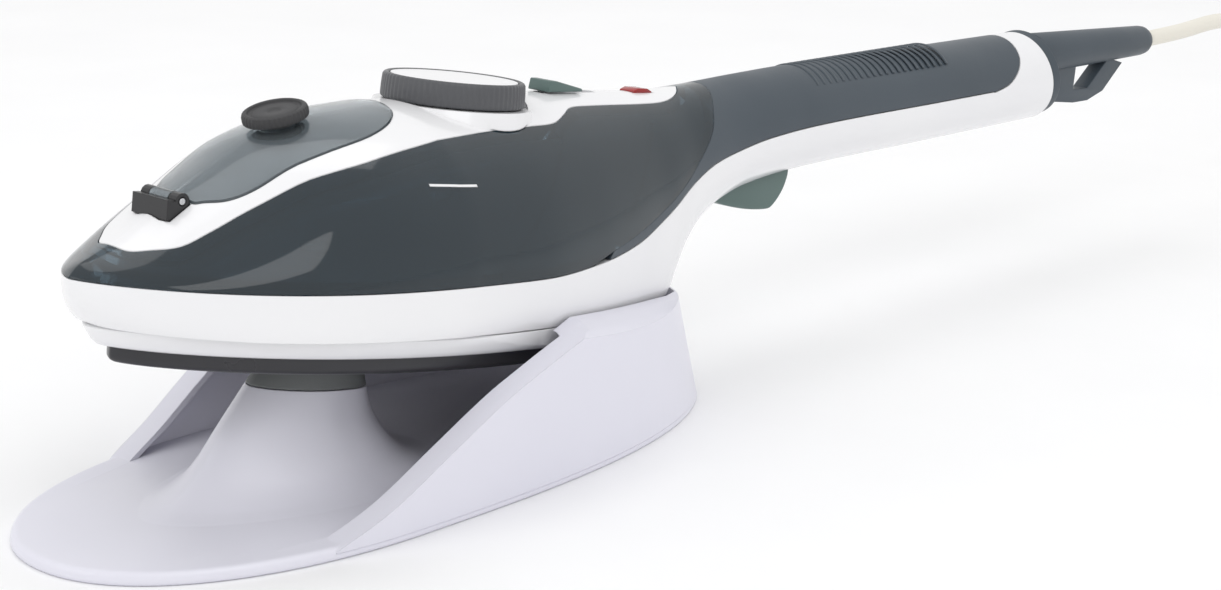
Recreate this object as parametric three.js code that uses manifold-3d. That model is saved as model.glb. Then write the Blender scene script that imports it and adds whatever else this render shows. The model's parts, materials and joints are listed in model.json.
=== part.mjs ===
// A corded travel steam iron resting on its open stand, built piece by piece as it is assembled.
// Millimetres, +Z up. X runs along the iron, nose towards -X, handle and cord towards +X.
// The origin lies on the stand's flat underside.
//
// The iron is drawn in its own frame: u along the soleplate from its nose, v across, w up from the
// soleplate's face. The group "iron" then tilts that frame nose up onto the stand.
import * as THREE from "three";
import { mergeVertices } from "three/addons/utils/BufferGeometryUtils.js";
import Module from "manifold-3d";

const wasm = await Module();
wasm.setup();

// ---------------------------------------------------------------- driving dimensions

const FIT = 0.3; // gap between neighbouring pieces
const TILT = THREE.MathUtils.degToRad(8.37); // nose-up tilt of the iron on the stand
const REST = { x: -82.1, z: 47.3 }; // where the soleplate's nose rests

const BODY = { nose: -13.4, widest: 76.2, halfWidth: 45.3, crown: 66, wall: 2.2 };
const SOLE = { length: 170.4, halfWidth: 39, widest: 97.8, plate: 4.2 };
const HANDLE = { start: 246, end: 370.8, rise: 0.1185, axis: 60.2, radius: 16.3, endRadius: 15.2 };
const END_LEAN = THREE.MathUtils.degToRad(18.8); // lean of the handle's end face
const SHIELD_TOP = 10; // top of the white heat shield, where the housing starts
const COVER = { front: -2.4, halfWidth: 26, rear: 195, skin: 4.4, recess: 2.6 };
const LID = { front: 15.8, rear: 78.5, halfWidth: 19.4, skin: 1.7 };
const HINGE = { u: 13, w: 40.6, radius: 2.1, pin: 0.9, halfWidth: 7.2 };
const PLUG = { u: 46.1, radius: 8.6, stem: 4.6, bore: 6.6 };
const DIAL = { u: 105.8, radius: 19.6, bottom: 64.5, top: 71.4, shaft: 3, seat: 20.6 };
const SLIDER = { u: 138, length: 13.5, halfWidth: 4.2, travel: 6 };
const LAMP = { u: 174, length: 8, halfWidth: 2.8 };
const TRIGGER = { u: 214, w: 43.5, reach: 31, halfWidth: 5.5, pin: 1.5 };
const PUMP = { u: 239, radius: 6, bottom: HANDLE.axis - 4.2, top: HANDLE.axis + HANDLE.radius - 6.5, plunger: 2.6 };
const CASTING = { inset: 9, top: 15, element: 3.3 };
const CHAMBER = { front: 26, rear: 88, halfWidth: 13, depth: 6 };

const STAND = { tip: -106.4, widest: -23.7, halfWidth: 50, rear: 118, floor: 3.6, wall: 3, flange: 7.6 };
const STAND_SPLAY = 0.179; // the walls lean outwards by this much per millimetre of height
const STAND_REAR_RAKE = 0.38; // the rear wall leans inwards by this much per millimetre of height
const ROOF = { top: 13, gap: 0.8 }; // the stand's roof, in the iron's frame, and its gap to the housing
const PAD = 8.8; // thickness of the heat-proof rest pad
const FOOT = { radius: 6, depth: 1.2 };

const CORD = { radius: 2.9, sides: 8 };
const GUARD = { length: 80, radius: 7.3, tip: 5, raise: 7, bore: 3.3 };
const COIL = { x: 572, y: -38.7, turn: 34.8, bundle: 10.7, tie: 0.6, lift: 12 };
const TAIL = { from: COIL.x + 25, to: COIL.x + 49, y: 3.6, high: 8.8, z: 7.5 };
const PLUG_LENGTH = 36;
const PRONG = { length: 17, width: 6.4, thickness: 1.5, pitch: 12.7 };

// ---------------------------------------------------------------- finishes

const FINISH = {
  white: [0xf2f2f4, 0.32, 0],
  lilacWhite: [0xe4e2ec, 0.4, 0],
  smoke: [0x37474f, 0.15, 0],
  slate: [0x4a525b, 0.5, 0],
  darkGrey: [0x4b4d52, 0.45, 0],
  black: [0x17181a, 0.45, 0],
  greyGreen: [0x51645f, 0.4, 0],
  lidSmoke: [0x8d9699, 0.15, 0],
  padGrey: [0x6a706e, 0.8, 0],
  red: [0x8c1f1f, 0.2, 0],
  rubber: [0x2a2b2d, 0.8, 0],
  casting: [0xa7a9ac, 0.5, 0.9],
  steel: [0xb9bcc0, 0.3, 1],
  brass: [0xc3a24e, 0.3, 1],
  silicone: [0xd9dcd8, 0.5, 0],
  cord: [0xe9e6dc, 0.5, 0],
  phenolic: [0x2d2522, 0.6, 0],
  leadBlack: [0x202020, 0.6, 0],
};

// ---------------------------------------------------------------- solid building

// A closed geometry as a manifold solid.
function solid(geometry) {
  const bare = geometry.clone();
  bare.deleteAttribute("normal");
  bare.deleteAttribute("uv");
  const merged = mergeVertices(bare, 1e-4);
  return new wasm.Manifold(
    new wasm.Mesh({
      numProp: 3,
      vertProperties: merged.attributes.position.array,
      triVerts: new Uint32Array(merged.index.array),
    }),
  );
}

// Adds one named piece to a group.
function piece(group, name, shape, finish) {
  let geometry = shape;
  if (!shape.isBufferGeometry) {
    const mesh = shape.getMesh();
    geometry = new THREE.BufferGeometry();
    geometry.setAttribute("position", new THREE.BufferAttribute(mesh.vertProperties, 3));
    geometry.setIndex(new THREE.BufferAttribute(mesh.triVerts, 1));
    geometry.computeVertexNormals();
  }
  const [color, roughness, metalness] = FINISH[finish];
  const mesh = new THREE.Mesh(geometry, new THREE.MeshStandardMaterial({ color, roughness, metalness }));
  mesh.name = name;
  group.add(mesh);
  return mesh;
}

// Skins a run of rings (arrays of [x, y, z], anticlockwise about the way they run) and caps both ends.
function loft(rings) {
  const count = rings[0].length;
  const points = rings.flat();
  const faces = [];
  const at = (ring, k) => ring * count + (k % count);
  for (let r = 0; r + 1 < rings.length; r++)
    for (let k = 0; k < count; k++) {
      faces.push(at(r, k), at(r, k + 1), at(r + 1, k));
      faces.push(at(r, k + 1), at(r + 1, k + 1), at(r + 1, k));
    }
  for (const [ring, flip] of [[0, true], [rings.length - 1, false]]) {
    const middle = [0, 1, 2].map((i) => rings[ring].reduce((sum, p) => sum + p[i], 0) / count);
    const centre = points.push(middle) - 1;
    for (let k = 0; k < count; k++) {
      const [a, b] = flip ? [k + 1, k] : [k, k + 1];
      faces.push(centre, at(ring, a), at(ring, b));
    }
  }
  const geometry = new THREE.BufferGeometry();
  geometry.setAttribute("position", new THREE.Float32BufferAttribute(points.flat(), 3));
  geometry.setIndex(faces);
  return geometry;
}

// A stack of flat outlines: each level is [height, outline], bottom first.
const stack = (levels) => loft(levels.map(([z, outline]) => outline.map(([x, y]) => [x, y, z])));

const shapeOf = (points) => new THREE.Shape(points.map(([x, y]) => new THREE.Vector2(x, y)));

// An outline seen from above, from height z0 to z1.
function planPrism(points, z0, z1) {
  const geometry = new THREE.ExtrudeGeometry(shapeOf(points), { depth: z1 - z0, bevelEnabled: false });
  return geometry.translate(0, 0, z0);
}

// An outline seen from the side (x, z), as thick as 2 * half across y.
function sidePrism(points, half) {
  const geometry = new THREE.ExtrudeGeometry(shapeOf(points), { depth: 2 * half, bevelEnabled: false });
  return geometry.rotateX(Math.PI / 2).translate(0, half, 0);
}

// An upright cylinder or cone between two heights.
function rod(x, y, z0, z1, radius, sides = 20, topRadius = radius) {
  const geometry = new THREE.CylinderGeometry(topRadius, radius, z1 - z0, sides);
  return geometry.rotateX(Math.PI / 2).translate(x, y, (z0 + z1) / 2);
}

// A cylinder lying across y.
function crossRod(x, z, half, radius, sides = 14) {
  return new THREE.CylinderGeometry(radius, radius, 2 * half, sides).translate(x, 0, z);
}

function box(x0, x1, y0, y1, z0, z1) {
  const geometry = new THREE.BoxGeometry(x1 - x0, y1 - y0, z1 - z0);
  return geometry.translate((x0 + x1) / 2, (y0 + y1) / 2, (z0 + z1) / 2);
}

// A round tube through points.
function tube(points, radius, steps, sides = 8) {
  const path = new THREE.CatmullRomCurve3(points.map((p) => new THREE.Vector3(...p)), false, "centripetal");
  const section = new THREE.Shape();
  for (let k = 0; k < sides; k++) {
    const a = (2 * Math.PI * k) / sides;
    const method = k ? "lineTo" : "moveTo";
    section[method](radius * Math.cos(a), radius * Math.sin(a));
  }
  return new THREE.ExtrudeGeometry(section, { steps, extrudePath: path, bevelEnabled: false });
}

// Smooth reading of one column of a station table: a cubic that never overshoots its stations.
function read(table, column, x) {
  const last = table.length - 1;
  const slope = (i) => (table[i + 1][column] - table[i][column]) / (table[i + 1][0] - table[i][0]);
  const tangent = (i) => {
    if (i === 0) return slope(0);
    if (i === last) return slope(last - 1);
    const [a, b] = [slope(i - 1), slope(i)];
    return a * b <= 0 ? 0 : (2 * a * b) / (a + b);
  };
  if (x <= table[0][0]) return table[0][column];
  if (x >= table[last][0]) return table[last][column];
  let i = 0;
  while (table[i + 1][0] < x) i++;
  const span = table[i + 1][0] - table[i][0];
  const t = (x - table[i][0]) / span;
  const [p, q] = [table[i][column], table[i + 1][column]];
  const [m, n] = [tangent(i) * span, tangent(i + 1) * span];
  return (
    p * (1 + 2 * t) * (1 - t) ** 2 +
    m * t * (1 - t) ** 2 +
    q * t * t * (3 - 2 * t) +
    n * t * t * (t - 1)
  );
}

const mirrored = (half) => [...half, ...half.map(([u, v]) => [u, -v]).reverse()];
const grow = (k, n) => 1 - Math.cos((k / n) * (Math.PI / 2)); // 0 to 1, slow first
const fade = (k, n) => Math.sin((k / n) * (Math.PI / 2)); // 0 to 1, slow last

// ---------------------------------------------------------------- the iron's outer skin

const W = BODY.halfWidth;
const H = BODY.crown;
const axisAt = (u) => HANDLE.axis + HANDLE.rise * (u - HANDLE.start);
const handleRow = (u, radius) => [u, radius - 0.5, axisAt(u), axisAt(u) + radius, axisAt(u) - radius, 2];

// Stations behind the widest point: u, half width, seam height, crown, keel, squareness of the lower half.
const REAR_ROWS = [
  [BODY.widest, W, 23.4, H - 1.7, 3, 5],
  [105, 0.956 * W, 23.9, H, 3, 5],
  [130, 0.85 * W, 26, H + 1.2, 3, 5],
  [150, 0.728 * W, 29.6, H + 1.8, 3, 5],
  [165, 0.62 * W, 35, H + 2, 3, 5],
  [174, 0.56 * W, 39.4, H + 2, 5, 5],
  [180, 0.515 * W, 42.8, H + 2.1, 15, 4.5],
  [185, 0.48 * W, 45.2, H + 2.4, 22, 4],
  [194, 0.435 * W, 49.2, H + 3.4, 28.5, 3],
  [206, 0.395 * W, 52.6, H + 5, 34, 2.4],
  [222, HANDLE.radius + 0.4, 56.4, H + 7.3, 39.2, 2.1],
  handleRow(HANDLE.start, HANDLE.radius),
  handleRow(310, (HANDLE.radius + HANDLE.endRadius) / 2),
  handleRow(HANDLE.end + 12, HANDLE.endRadius),
];
// Stations of the nose: u, crown, keel, and the power of the upper half's section.
const NOSE_ROWS = [
  [BODY.nose, 22, 21, 1.25],
  [-11, 24.6, 15, 1.28],
  [-6, 27.4, 9.5, 1.32],
  [2, 32, 6, 1.4],
  [12, 39.2, 4, 1.47],
  [25, 47.6, 3, 1.6],
  [40, H - 9.6, 3, 1.78],
  [58, H - 4.2, 3, 1.9],
  [BODY.widest, H - 1.7, 3, 1.96],
];

// Half width of the body at u; a positive inset moves the skin inwards.
function halfAt(u, inset = 0) {
  if (u >= BODY.widest) return read(REAR_ROWS, 1, u) - inset;
  const nose = BODY.nose + 1.4 * inset;
  const t = Math.min(1, (BODY.widest - u) / (BODY.widest - nose));
  return (W - inset) * (1 - t ** 2.437) ** (1 / 1.4);
}
const seamAt = (u) => (u < BODY.widest ? 21.5 + 0.0212 * (u - BODY.nose) : read(REAR_ROWS, 2, u));
const crownAt = (u) => (u < BODY.widest ? read(NOSE_ROWS, 1, u) : read(REAR_ROWS, 3, u));
const keelAt = (u) => (u < BODY.widest ? read(NOSE_ROWS, 2, u) : read(REAR_ROWS, 4, u));

// One cross-section of the body: two halves of rounded outline meeting at the seam.
function bodyRing(u, inset, count) {
  const seam = seamAt(u);
  const lean = Math.hypot(1, (crownAt(u + 1) - crownAt(u - 1)) / 2);
  const rake = Math.min(3, Math.hypot(1, (keelAt(u + 1) - keelAt(u - 1)) / 2));
  const up = Math.max(0.2, crownAt(u) - inset * lean - seam);
  const down = Math.max(0.2, seam - keelAt(u) - inset * rake);
  const upper = u < BODY.widest ? read(NOSE_ROWS, 3, u) : 2;
  const lower = u < BODY.widest ? Math.min(5, 2 + (u - BODY.nose) / 12) : read(REAR_ROWS, 5, u);
  const bend = (value, power) => Math.sign(value) * Math.abs(value) ** (2 / power);
  const ring = [];
  for (let k = 0; k < count; k++) {
    const a = (2 * Math.PI * k) / count;
    const [c, s] = [Math.cos(a), Math.sin(a)];
    const power = s >= 0 ? upper : lower;
    ring.push([u, halfAt(u, inset) * bend(c, power), seam + (s >= 0 ? up : down) * bend(s, power)]);
  }
  return ring;
}

// Stations of the fine outer skin and of the plainer hidden skins behind the widest point.
const OUTER = {
  around: 24,
  nose: 11,
  rear: [90, 105, 118, 130, 141, 151, 160, 168, 174, 178, 182, 187, 193, 200, 208, 218, 230, 246, 276, 306, 336],
};
const HIDDEN = { around: 16, nose: 7, rear: [100, 125, 145, 160, 172, 180, 190, 203, 220, 246, 310] };

// The body's skin as a solid, moved inwards by inset.
function bodySkin(inset, grid = OUTER) {
  const nose = BODY.nose + 1.4 * inset;
  const stations = [];
  for (let k = 0; k <= grid.nose; k++) {
    const share = 0.004 + 0.996 * grow(k, grid.nose);
    stations.push(nose + (BODY.widest - nose) * share);
  }
  stations.push(...grid.rear, HANDLE.end - 10, HANDLE.end + 12);
  return solid(loft(stations.map((u) => bodyRing(u, inset, grid.around))));
}

const SKIN = bodySkin(0);
const INNER = bodySkin(BODY.wall, HIDDEN);
const COVER_INNER = bodySkin(COVER.skin, HIDDEN);

// The body's plan outline, grown outwards by extra and closed off behind at rear.
function bodyOutline(extra, rear = 181) {
  const half = [];
  const nose = BODY.nose - 1.4 * extra;
  for (let k = 1; k <= 9; k++) {
    const u = nose + (BODY.widest - nose) * (0.002 + 0.998 * grow(k - 1, 8));
    half.push([u, -halfAt(u, -extra)]);
  }
  for (const u of [95, 113, 131, 149, 163, 173]) half.push([u, -halfAt(u, -extra)]);
  half.push([rear + 0.6 * extra - 3, -halfAt(rear, -extra) + 1]);
  half.push([rear + extra, -halfAt(rear, -extra) + 6]);
  return mirrored(half);
}

// The soleplate's outline, shrunk by inset.
function soleOutline(inset) {
  const nose = 1.5 * inset;
  const rear = SOLE.length - inset;
  const widest = SOLE.widest;
  const half = [];
  for (let k = 0; k < 9; k++) {
    const t = 1 - (0.003 + 0.997 * grow(k, 9));
    half.push([widest - t * (widest - nose), -(SOLE.halfWidth - inset) * (1 - t ** 2.217) ** (1 / 1.4)]);
  }
  for (let k = 0; k < 8; k++) {
    const t = 0.999 * fade(k, 7);
    const taper = (1 - 0.35 * t ** 2) * (1 - t ** 14) ** 0.4;
    half.push([widest + t * (rear - widest), -(SOLE.halfWidth - inset) * taper]);
  }
  return mirrored(half);
}

// ---------------------------------------------------------------- cuts between the shells

const range = (from, to, count) => {
  const values = [];
  for (let k = 0; k <= count; k++) values.push(from + ((to - from) * k) / count);
  return values;
};

// The seam seen from the side, raised by rise.
const seamLine = (from, to, rise) => range(from, to, 30).map((u) => [u, seamAt(u) + rise]);

// The end of the dark grip seen from the side, where the white collar starts.
const GRIP_END = [[337, -0.2], [345, 1.6], [351, 6], [354, 12], [355, 24]];
const gripEnd = (move) => GRIP_END.map(([u, above]) => [u + move, seamAt(u) + above]);

// The tank's rear edge seen from the side, from the top down to where it meets the seam.
const TANK_REAR = [[207, 74], [203, 69.6], [198, 64.6], [193, 57.6], [186, 50.9], [178, 44.8], [166, 38.4],
  [150, 32.6], [136, 28.9]];
const tankRear = (move) => TANK_REAR.map(([u, w]) => [u + move, w + 0.2 * move]);

// All that lies above the seam, ahead of the grip's end.
function aboveSeam(rise, endMove) {
  const line = seamLine(BODY.nose - 5, 336, rise);
  const end = gripEnd(endMove).map(([u, w]) => [u, w + rise]);
  const top = [[355 + endMove, 120], [BODY.nose - 5, 120]];
  return solid(sidePrism([...line, ...end, ...top], 70));
}

// All that lies ahead of the tank's rear edge and above the seam.
function tankSide(move, rise) {
  const line = seamLine(BODY.nose - 5, 126, rise);
  const rear = tankRear(move).reverse();
  return solid(sidePrism([...line, ...rear, [207 + move, 120], [BODY.nose - 5, 120]], 70));
}

// The cover's plan outline from its front to its rear: a wide hood, then a narrow ridge behind the dial.
const COVER_EDGE = [[0, 0.02], [1.2, 0.22], [4.6, 0.38], [10, 0.58], [17, 0.67], [26, 0.75], [38, 0.87], [50, 0.97], [60, 1],
  [78, 0.95], [100, 0.86], [118, 0.8], [128, 0.75], [135, 0.62], [141, 0.49], [150, 0.45], [172, 0.39], [184, 0.33],
  [192, 0.2], [197.4, 0.02]];
function coverOutline(extra) {
  const span = COVER.rear - COVER.front;
  const half = COVER_EDGE.map(([along, share]) => {
    const end = along === 0 ? -extra : share < 0.3 && along > 100 ? extra : 0;
    const side = along === 0 || along > 195 ? 0 : extra;
    return [COVER.front + (along * span) / 197.4 + end, -(COVER.halfWidth * share + side)];
  });
  return mirrored(half);
}

// The lid's plan outline: a narrow front end at the hinge and a round rear end.
const LID_EDGE = [[0, 0.36], [2, 0.5], [6, 0.71], [12, 0.84], [20, 0.91], [30, 0.98], [41, 1], [49, 0.92], [56, 0.74],
  [61, 0.45], [63.5, 0.08]];
function lidOutline(extra) {
  const span = LID.rear - LID.front;
  const half = LID_EDGE.map(([along, share]) => {
    const end = along === 0 ? -extra : along > 60 ? extra : 0;
    return [LID.front + (along * span) / 63.5 + end, -(LID.halfWidth * share + extra)];
  });
  return mirrored(half);
}

// A half-space below the handle's leaning end face, moved back by move.
function endCut(move) {
  const slab = new THREE.BoxGeometry(60, 120, 120).translate(30 + move, 0, 0);
  slab.rotateY(-END_LEAN).translate(HANDLE.end, 0, axisAt(HANDLE.end));
  return solid(slab);
}

// ---------------------------------------------------------------- shells

function lowerShell() {
  let shell = SKIN.subtract(INNER).subtract(aboveSeam(-FIT / 2, FIT / 2));
  shell = shell.subtract(solid(box(-40, 190, -80, 80, -20, SHIELD_TOP + FIT)));
  shell = shell.subtract(endCut(0));
  const trigger = box(TRIGGER.u - 6, TRIGGER.u + TRIGGER.reach + 3, -6.3, 6.3, 20, seamAt(TRIGGER.u) - 6);
  shell = shell.subtract(solid(trigger));
  for (const [u, v] of SHIELD_SCREWS) {
    const side = Math.sign(v);
    const wall = side * (halfAt(u) - 1);
    const rib = box(u - 1, u + 1, Math.min(v, wall), Math.max(v, wall), SHIELD_TOP + 4, 19);
    shell = shell.add(solid(rod(u, v, SHIELD_TOP + FIT, 19, 3.4, 12)));
    shell = shell.add(solid(rib)).subtract(solid(rod(u, v, 0, 17.5, 1.6, 8)));
  }
  for (const u of HANDLE_SCREWS) {
    const keel = keelAt(u);
    shell = shell.add(solid(rod(u, 0, keel + 1, keel + 9, 4.6, 12)));
    shell = shell.subtract(solid(rod(u, 0, keel - 5, keel + 5, 3.2, 12)));
    shell = shell.subtract(solid(rod(u, 0, keel, keel + 20, 1.8, 8)));
  }
  for (const side of [-1, 1]) {
    const pinBoss = crossRod(TRIGGER.u, TRIGGER.w, 1.6, 3.4, 12).translate(0, side * 7.9, 0);
    const web = box(TRIGGER.u - 1, TRIGGER.u + 1, side * 8 - 1.5, side * 8 + 1.5, TRIGGER.w - 6, TRIGGER.w);
    shell = shell.add(solid(pinBoss)).add(solid(web));
  }
  return shell.subtract(solid(crossRod(TRIGGER.u, TRIGGER.w, 12, TRIGGER.pin + FIT, 10)));
}

function waterTank() {
  const underCover = (extra, skin) => solid(planPrism(coverOutline(extra), 0, 100)).subtract(skin);
  const deckTop = bodySkin(COVER.skin + 0.6, HIDDEN);
  const deckFloor = bodySkin(COVER.skin + 2.4, HIDDEN);
  const block = SKIN.intersect(tankSide(-FIT / 2, FIT / 2)).subtract(underCover(FIT, deckTop));
  const cavity = INNER.intersect(tankSide(-2.4, 2.6)).subtract(underCover(2.6, deckFloor));
  const well = solid(rod(DIAL.u, 0, seamAt(DIAL.u) + 1.2, DIAL.bottom - 7.5, 6, 12));
  let tank = block.subtract(cavity.subtract(well));
  tank = tank.subtract(solid(rod(DIAL.u, 0, 10, 90, 4.2, 12)));
  tank = tank.subtract(solid(onCrown(rod(0, 0, -20, 20, PLUG.bore + 2.6, 16), PLUG.u)));
  return tank.subtract(solid(rod(VALVE.u, 0, 15, 35, VALVE.seat, 12)));
}

function topCover() {
  const low = solid(box(-40, 420, -90, 90, -10, 26.5)).add(solid(box(150, 420, -90, 90, -10, 56)));
  let cover = SKIN.subtract(COVER_INNER).intersect(solid(planPrism(coverOutline(0), 0, 120)));
  cover = cover.subtract(low);
  const recess = bodySkin(-3).subtract(bodySkin(COVER.recess));
  cover = cover.subtract(recess.intersect(solid(planPrism(lidOutline(0.5), 0, 110))));
  const seat = solid(rod(DIAL.u, 0, H - 8, DIAL.bottom - FIT, 24, 28, DIAL.seat + 0.8));
  cover = cover.add(seat.subtract(bodySkin(-FIT)));
  cover = cover.add(seat.subtract(COVER_INNER).intersect(solid(planPrism(coverOutline(0), 0, 120))));
  cover = cover.subtract(solid(rod(DIAL.u, 0, DIAL.bottom - FIT, 90, DIAL.seat, 28)));
  cover = cover.subtract(solid(rod(DIAL.u, 0, 20, 90, 4.2, 12)));
  cover = cover.subtract(solid(onCrown(rod(0, 0, -20, 20, PLUG.bore, 18), PLUG.u)));
  const pocket = HINGE.halfWidth + FIT;
  cover = cover.subtract(solid(box(HINGE.u - 4.7, HINGE.u + 2.4, -pocket, pocket, HINGE.w - 4.9, HINGE.w + 9)));
  cover = cover.subtract(solid(sliderSlot()));
  return cover.subtract(solid(lampWindow()));
}

function gripCover() {
  let grip = SKIN.subtract(INNER).intersect(aboveSeam(FIT / 2, -FIT / 2));
  grip = grip.subtract(tankSide(FIT / 2, -9));
  grip = grip.subtract(solid(planPrism(coverOutline(FIT), 0, 120)));
  for (const u of HANDLE_SCREWS) {
    grip = grip.add(solid(rod(u, 0, keelAt(u) + 9 + FIT, crownAt(u) - 1, 3.4, 10)));
    grip = grip.subtract(solid(rod(u, 0, keelAt(u), keelAt(u) + 15, 1.3, 8)));
  }
  return grip;
}

// ---------------------------------------------------------------- sole, heater and shield

const SHIELD_SCREWS = [[34, -25], [34, 25], [132, -31.5], [132, 31.5]];
const HANDLE_SCREWS = [268, 322];
const VALVE = { u: 62, seat: 4.2, needle: 1.6, top: 50.5 };

function soleplate() {
  const plate = stack([[0, soleOutline(1.2)], [1.1, soleOutline(0)], [SOLE.plate, soleOutline(0)]]);
  let sole = solid(plate);
  const channel = solid(planPrism(soleOutline(13), SOLE.plate - 1.5, SOLE.plate + 1));
  sole = sole.subtract(channel.subtract(solid(planPrism(soleOutline(21), 0, 9))));
  for (const [u, v] of STEAM_HOLES) sole = sole.subtract(solid(rod(u, v, -1, 6, 1.5, 8)));
  return sole;
}

// Steam holes in mirrored pairs along the channel.
const HOLE_HALF = [[40, 8], [56, 13.5], [74, 18.5], [94, 21.5], [114, 21.5]];
const STEAM_HOLES = HOLE_HALF.flatMap(([u, v]) => [[u, v], [u, -v]]);

function soleCasting() {
  let casting = solid(planPrism(soleOutline(CASTING.inset), SOLE.plate + FIT, CASTING.top));
  const path = tube(elementPath(0), CASTING.element + FIT, 26, 8);
  const lifted = tube(elementPath(4), CASTING.element + FIT, 26, 8);
  casting = casting.subtract(solid(path)).subtract(solid(lifted));
  const { front, rear, halfWidth, depth } = CHAMBER;
  const chamber = box(front + 8, rear, -halfWidth, halfWidth, CASTING.top - depth, CASTING.top + 2);
  casting = casting.subtract(solid(chamber));
  for (const side of [-1, 1]) {
    casting = casting.subtract(solid(rod(rear - 6, side * 9, 0, CASTING.top, 2, 8)));
  }
  return casting;
}

// The heating rod's path: a long loop round the steam chamber, ends to the rear, raised by rise.
function elementPath(rise) {
  const w = CASTING.top - CASTING.element - 0.2 + rise;
  const side = [[150, 15], [128, 19.5], [100, 20.5], [70, 19.5], [46, 14.5], [32, 7.5]];
  const near = side.map(([u, v]) => [u, -v, w]);
  const far = side.map(([u, v]) => [u, v, w]).reverse();
  return [...near, [27, 0, w], ...far];
}

function chamberCover() {
  const { front, rear, halfWidth } = CHAMBER;
  const plate = box(front + 5, rear + 3, -halfWidth - 1.5, halfWidth + 1.5, CASTING.top + FIT, CASTING.top + 1.5);
  let cover = solid(plate);
  cover = cover.add(solid(rod(INLET[0], INLET[1], CASTING.top + 1, INLET[2], 2.6, 10)));
  cover = cover.subtract(solid(rod(INLET[0], INLET[1], 0, 30, 1.4, 8)));
  return cover.subtract(solid(rod(VALVE.u, 0, 0, 30, VALVE.seat, 12)));
}
const INLET = [80, -9, CASTING.top + 2.6];

function heatShield() {
  const lip = stack([
    [SOLE.plate + FIT, soleOutline(-1.6)],
    [SOLE.plate + 1.8, soleOutline(-3.4)],
    [SHIELD_TOP - 1, soleOutline(-5)],
    [SHIELD_TOP, soleOutline(-4.4)],
  ]);
  let shield = solid(lip).subtract(solid(planPrism(soleOutline(CASTING.inset - 1), 0, 20)));
  for (const [u, v] of SHIELD_SCREWS) {
    shield = shield.subtract(solid(rod(u, v, 0, 20, 1.6, 8)));
    shield = shield.subtract(solid(rod(u, v, 0, SHIELD_TOP - 2, 3, 12)));
  }
  return shield.intersect(solid(planPrism(bodyOutline(-1), 0, 20)));
}

// ---------------------------------------------------------------- lid, dial, slider and lamp

// Stands a shape drawn at the origin on the crown of the body, square to its slope.
function onCrown(geometry, u) {
  const slope = (crownAt(u + 1) - crownAt(u - 1)) / 2;
  return geometry.rotateY(-Math.atan(slope)).translate(u, 0, crownAt(u));
}

function sliderSlot() {
  const top = crownAt(SLIDER.u) + 8;
  return box(SLIDER.u - 1, SLIDER.u + SLIDER.length + SLIDER.travel + 1, -2.6, 2.6, top - 20, top);
}

function lampWindow() {
  const { u, length, halfWidth } = LAMP;
  return box(u - FIT, u + length + FIT, -halfWidth - FIT, halfWidth + FIT, 50, 90);
}

function hingeBracket() {
  const { u, w, radius, pin, halfWidth } = HINGE;
  let bracket = solid(box(u - 4.4, u - 2.5, -halfWidth, halfWidth, w - 4.6, w + 0.4));
  bracket = bracket.add(solid(box(u - 4.4, u + 1.4, -halfWidth, halfWidth, w - 4.6, w - 2.6)));
  for (const side of [-1, 1]) {
    const ear = crossRod(u, w, 1.6, radius, 14).translate(0, side * (halfWidth - 1.6), 0);
    const middle = side * (halfWidth - 1.6);
    const foot = box(u - 3, u + 1.4, middle - 1.6, middle + 1.6, w - 4, w);
    bracket = bracket.add(solid(ear)).add(solid(foot));
  }
  return bracket.subtract(solid(crossRod(u, w, 20, pin + FIT, 10)));
}

function fillLid() {
  const outline = solid(planPrism(lidOutline(0), 0, 110));
  let lid = bodySkin(-FIT).subtract(bodySkin(LID.skin)).intersect(outline);
  lid = lid.subtract(solid(box(-40, 100, -60, 60, -10, 24)));
  const front = HINGE.halfWidth - 3.2 - FIT;
  const arm = box(HINGE.u, LID.front + 1.4, -front, front, HINGE.w - 0.6, HINGE.w + 1.4);
  lid = lid.add(solid(crossRod(HINGE.u, HINGE.w, front, HINGE.radius, 14))).add(solid(arm));
  lid = lid.subtract(solid(crossRod(HINGE.u, HINGE.w, 20, HINGE.pin + FIT, 10)));
  return lid.subtract(solid(onCrown(rod(0, 0, -20, 20, PLUG.stem + FIT, 14), PLUG.u)));
}

// The stopper: a knurled head above the lid, a stem through it and a soft cone in the filler hole.
function lidPlug() {
  const profile = [
    [0, -9], [PLUG.bore - 2.2, -9], [PLUG.bore - 0.8, -5], [PLUG.bore - 0.8, -2.9], [PLUG.stem, -2.9],
    [PLUG.stem, 1.4], [PLUG.radius, 1.4], [PLUG.radius, 3.4], [PLUG.radius - 1.3, 4.2], [PLUG.radius - 1.6, 3.5],
    [0, 3.5],
  ].map(([r, z]) => new THREE.Vector2(r, z));
  const plug = new THREE.LatheGeometry(profile, 24).rotateX(Math.PI / 2);
  return onCrown(plug, PLUG.u);
}

function dialKnob() {
  const { radius, bottom, top } = DIAL;
  const height = top - bottom;
  const profile = [
    [3.4, 0], [radius - 0.6, 0], [radius, 0.8], [radius - 0.3, height - 0.6], [radius - 1, height],
    [radius - 1.6, height], [radius - 2, height - 1.4], [3.4, height - 1.4],
  ].map(([r, z]) => new THREE.Vector2(r, z));
  profile.push(profile[0].clone());
  return new THREE.LatheGeometry(profile, 30).rotateX(Math.PI / 2).translate(DIAL.u, 0, bottom);
}

function dialCap() {
  return rod(DIAL.u, 0, DIAL.top - 1.4 + FIT, DIAL.top - 0.2, DIAL.radius - 2 - FIT, 36);
}

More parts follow.
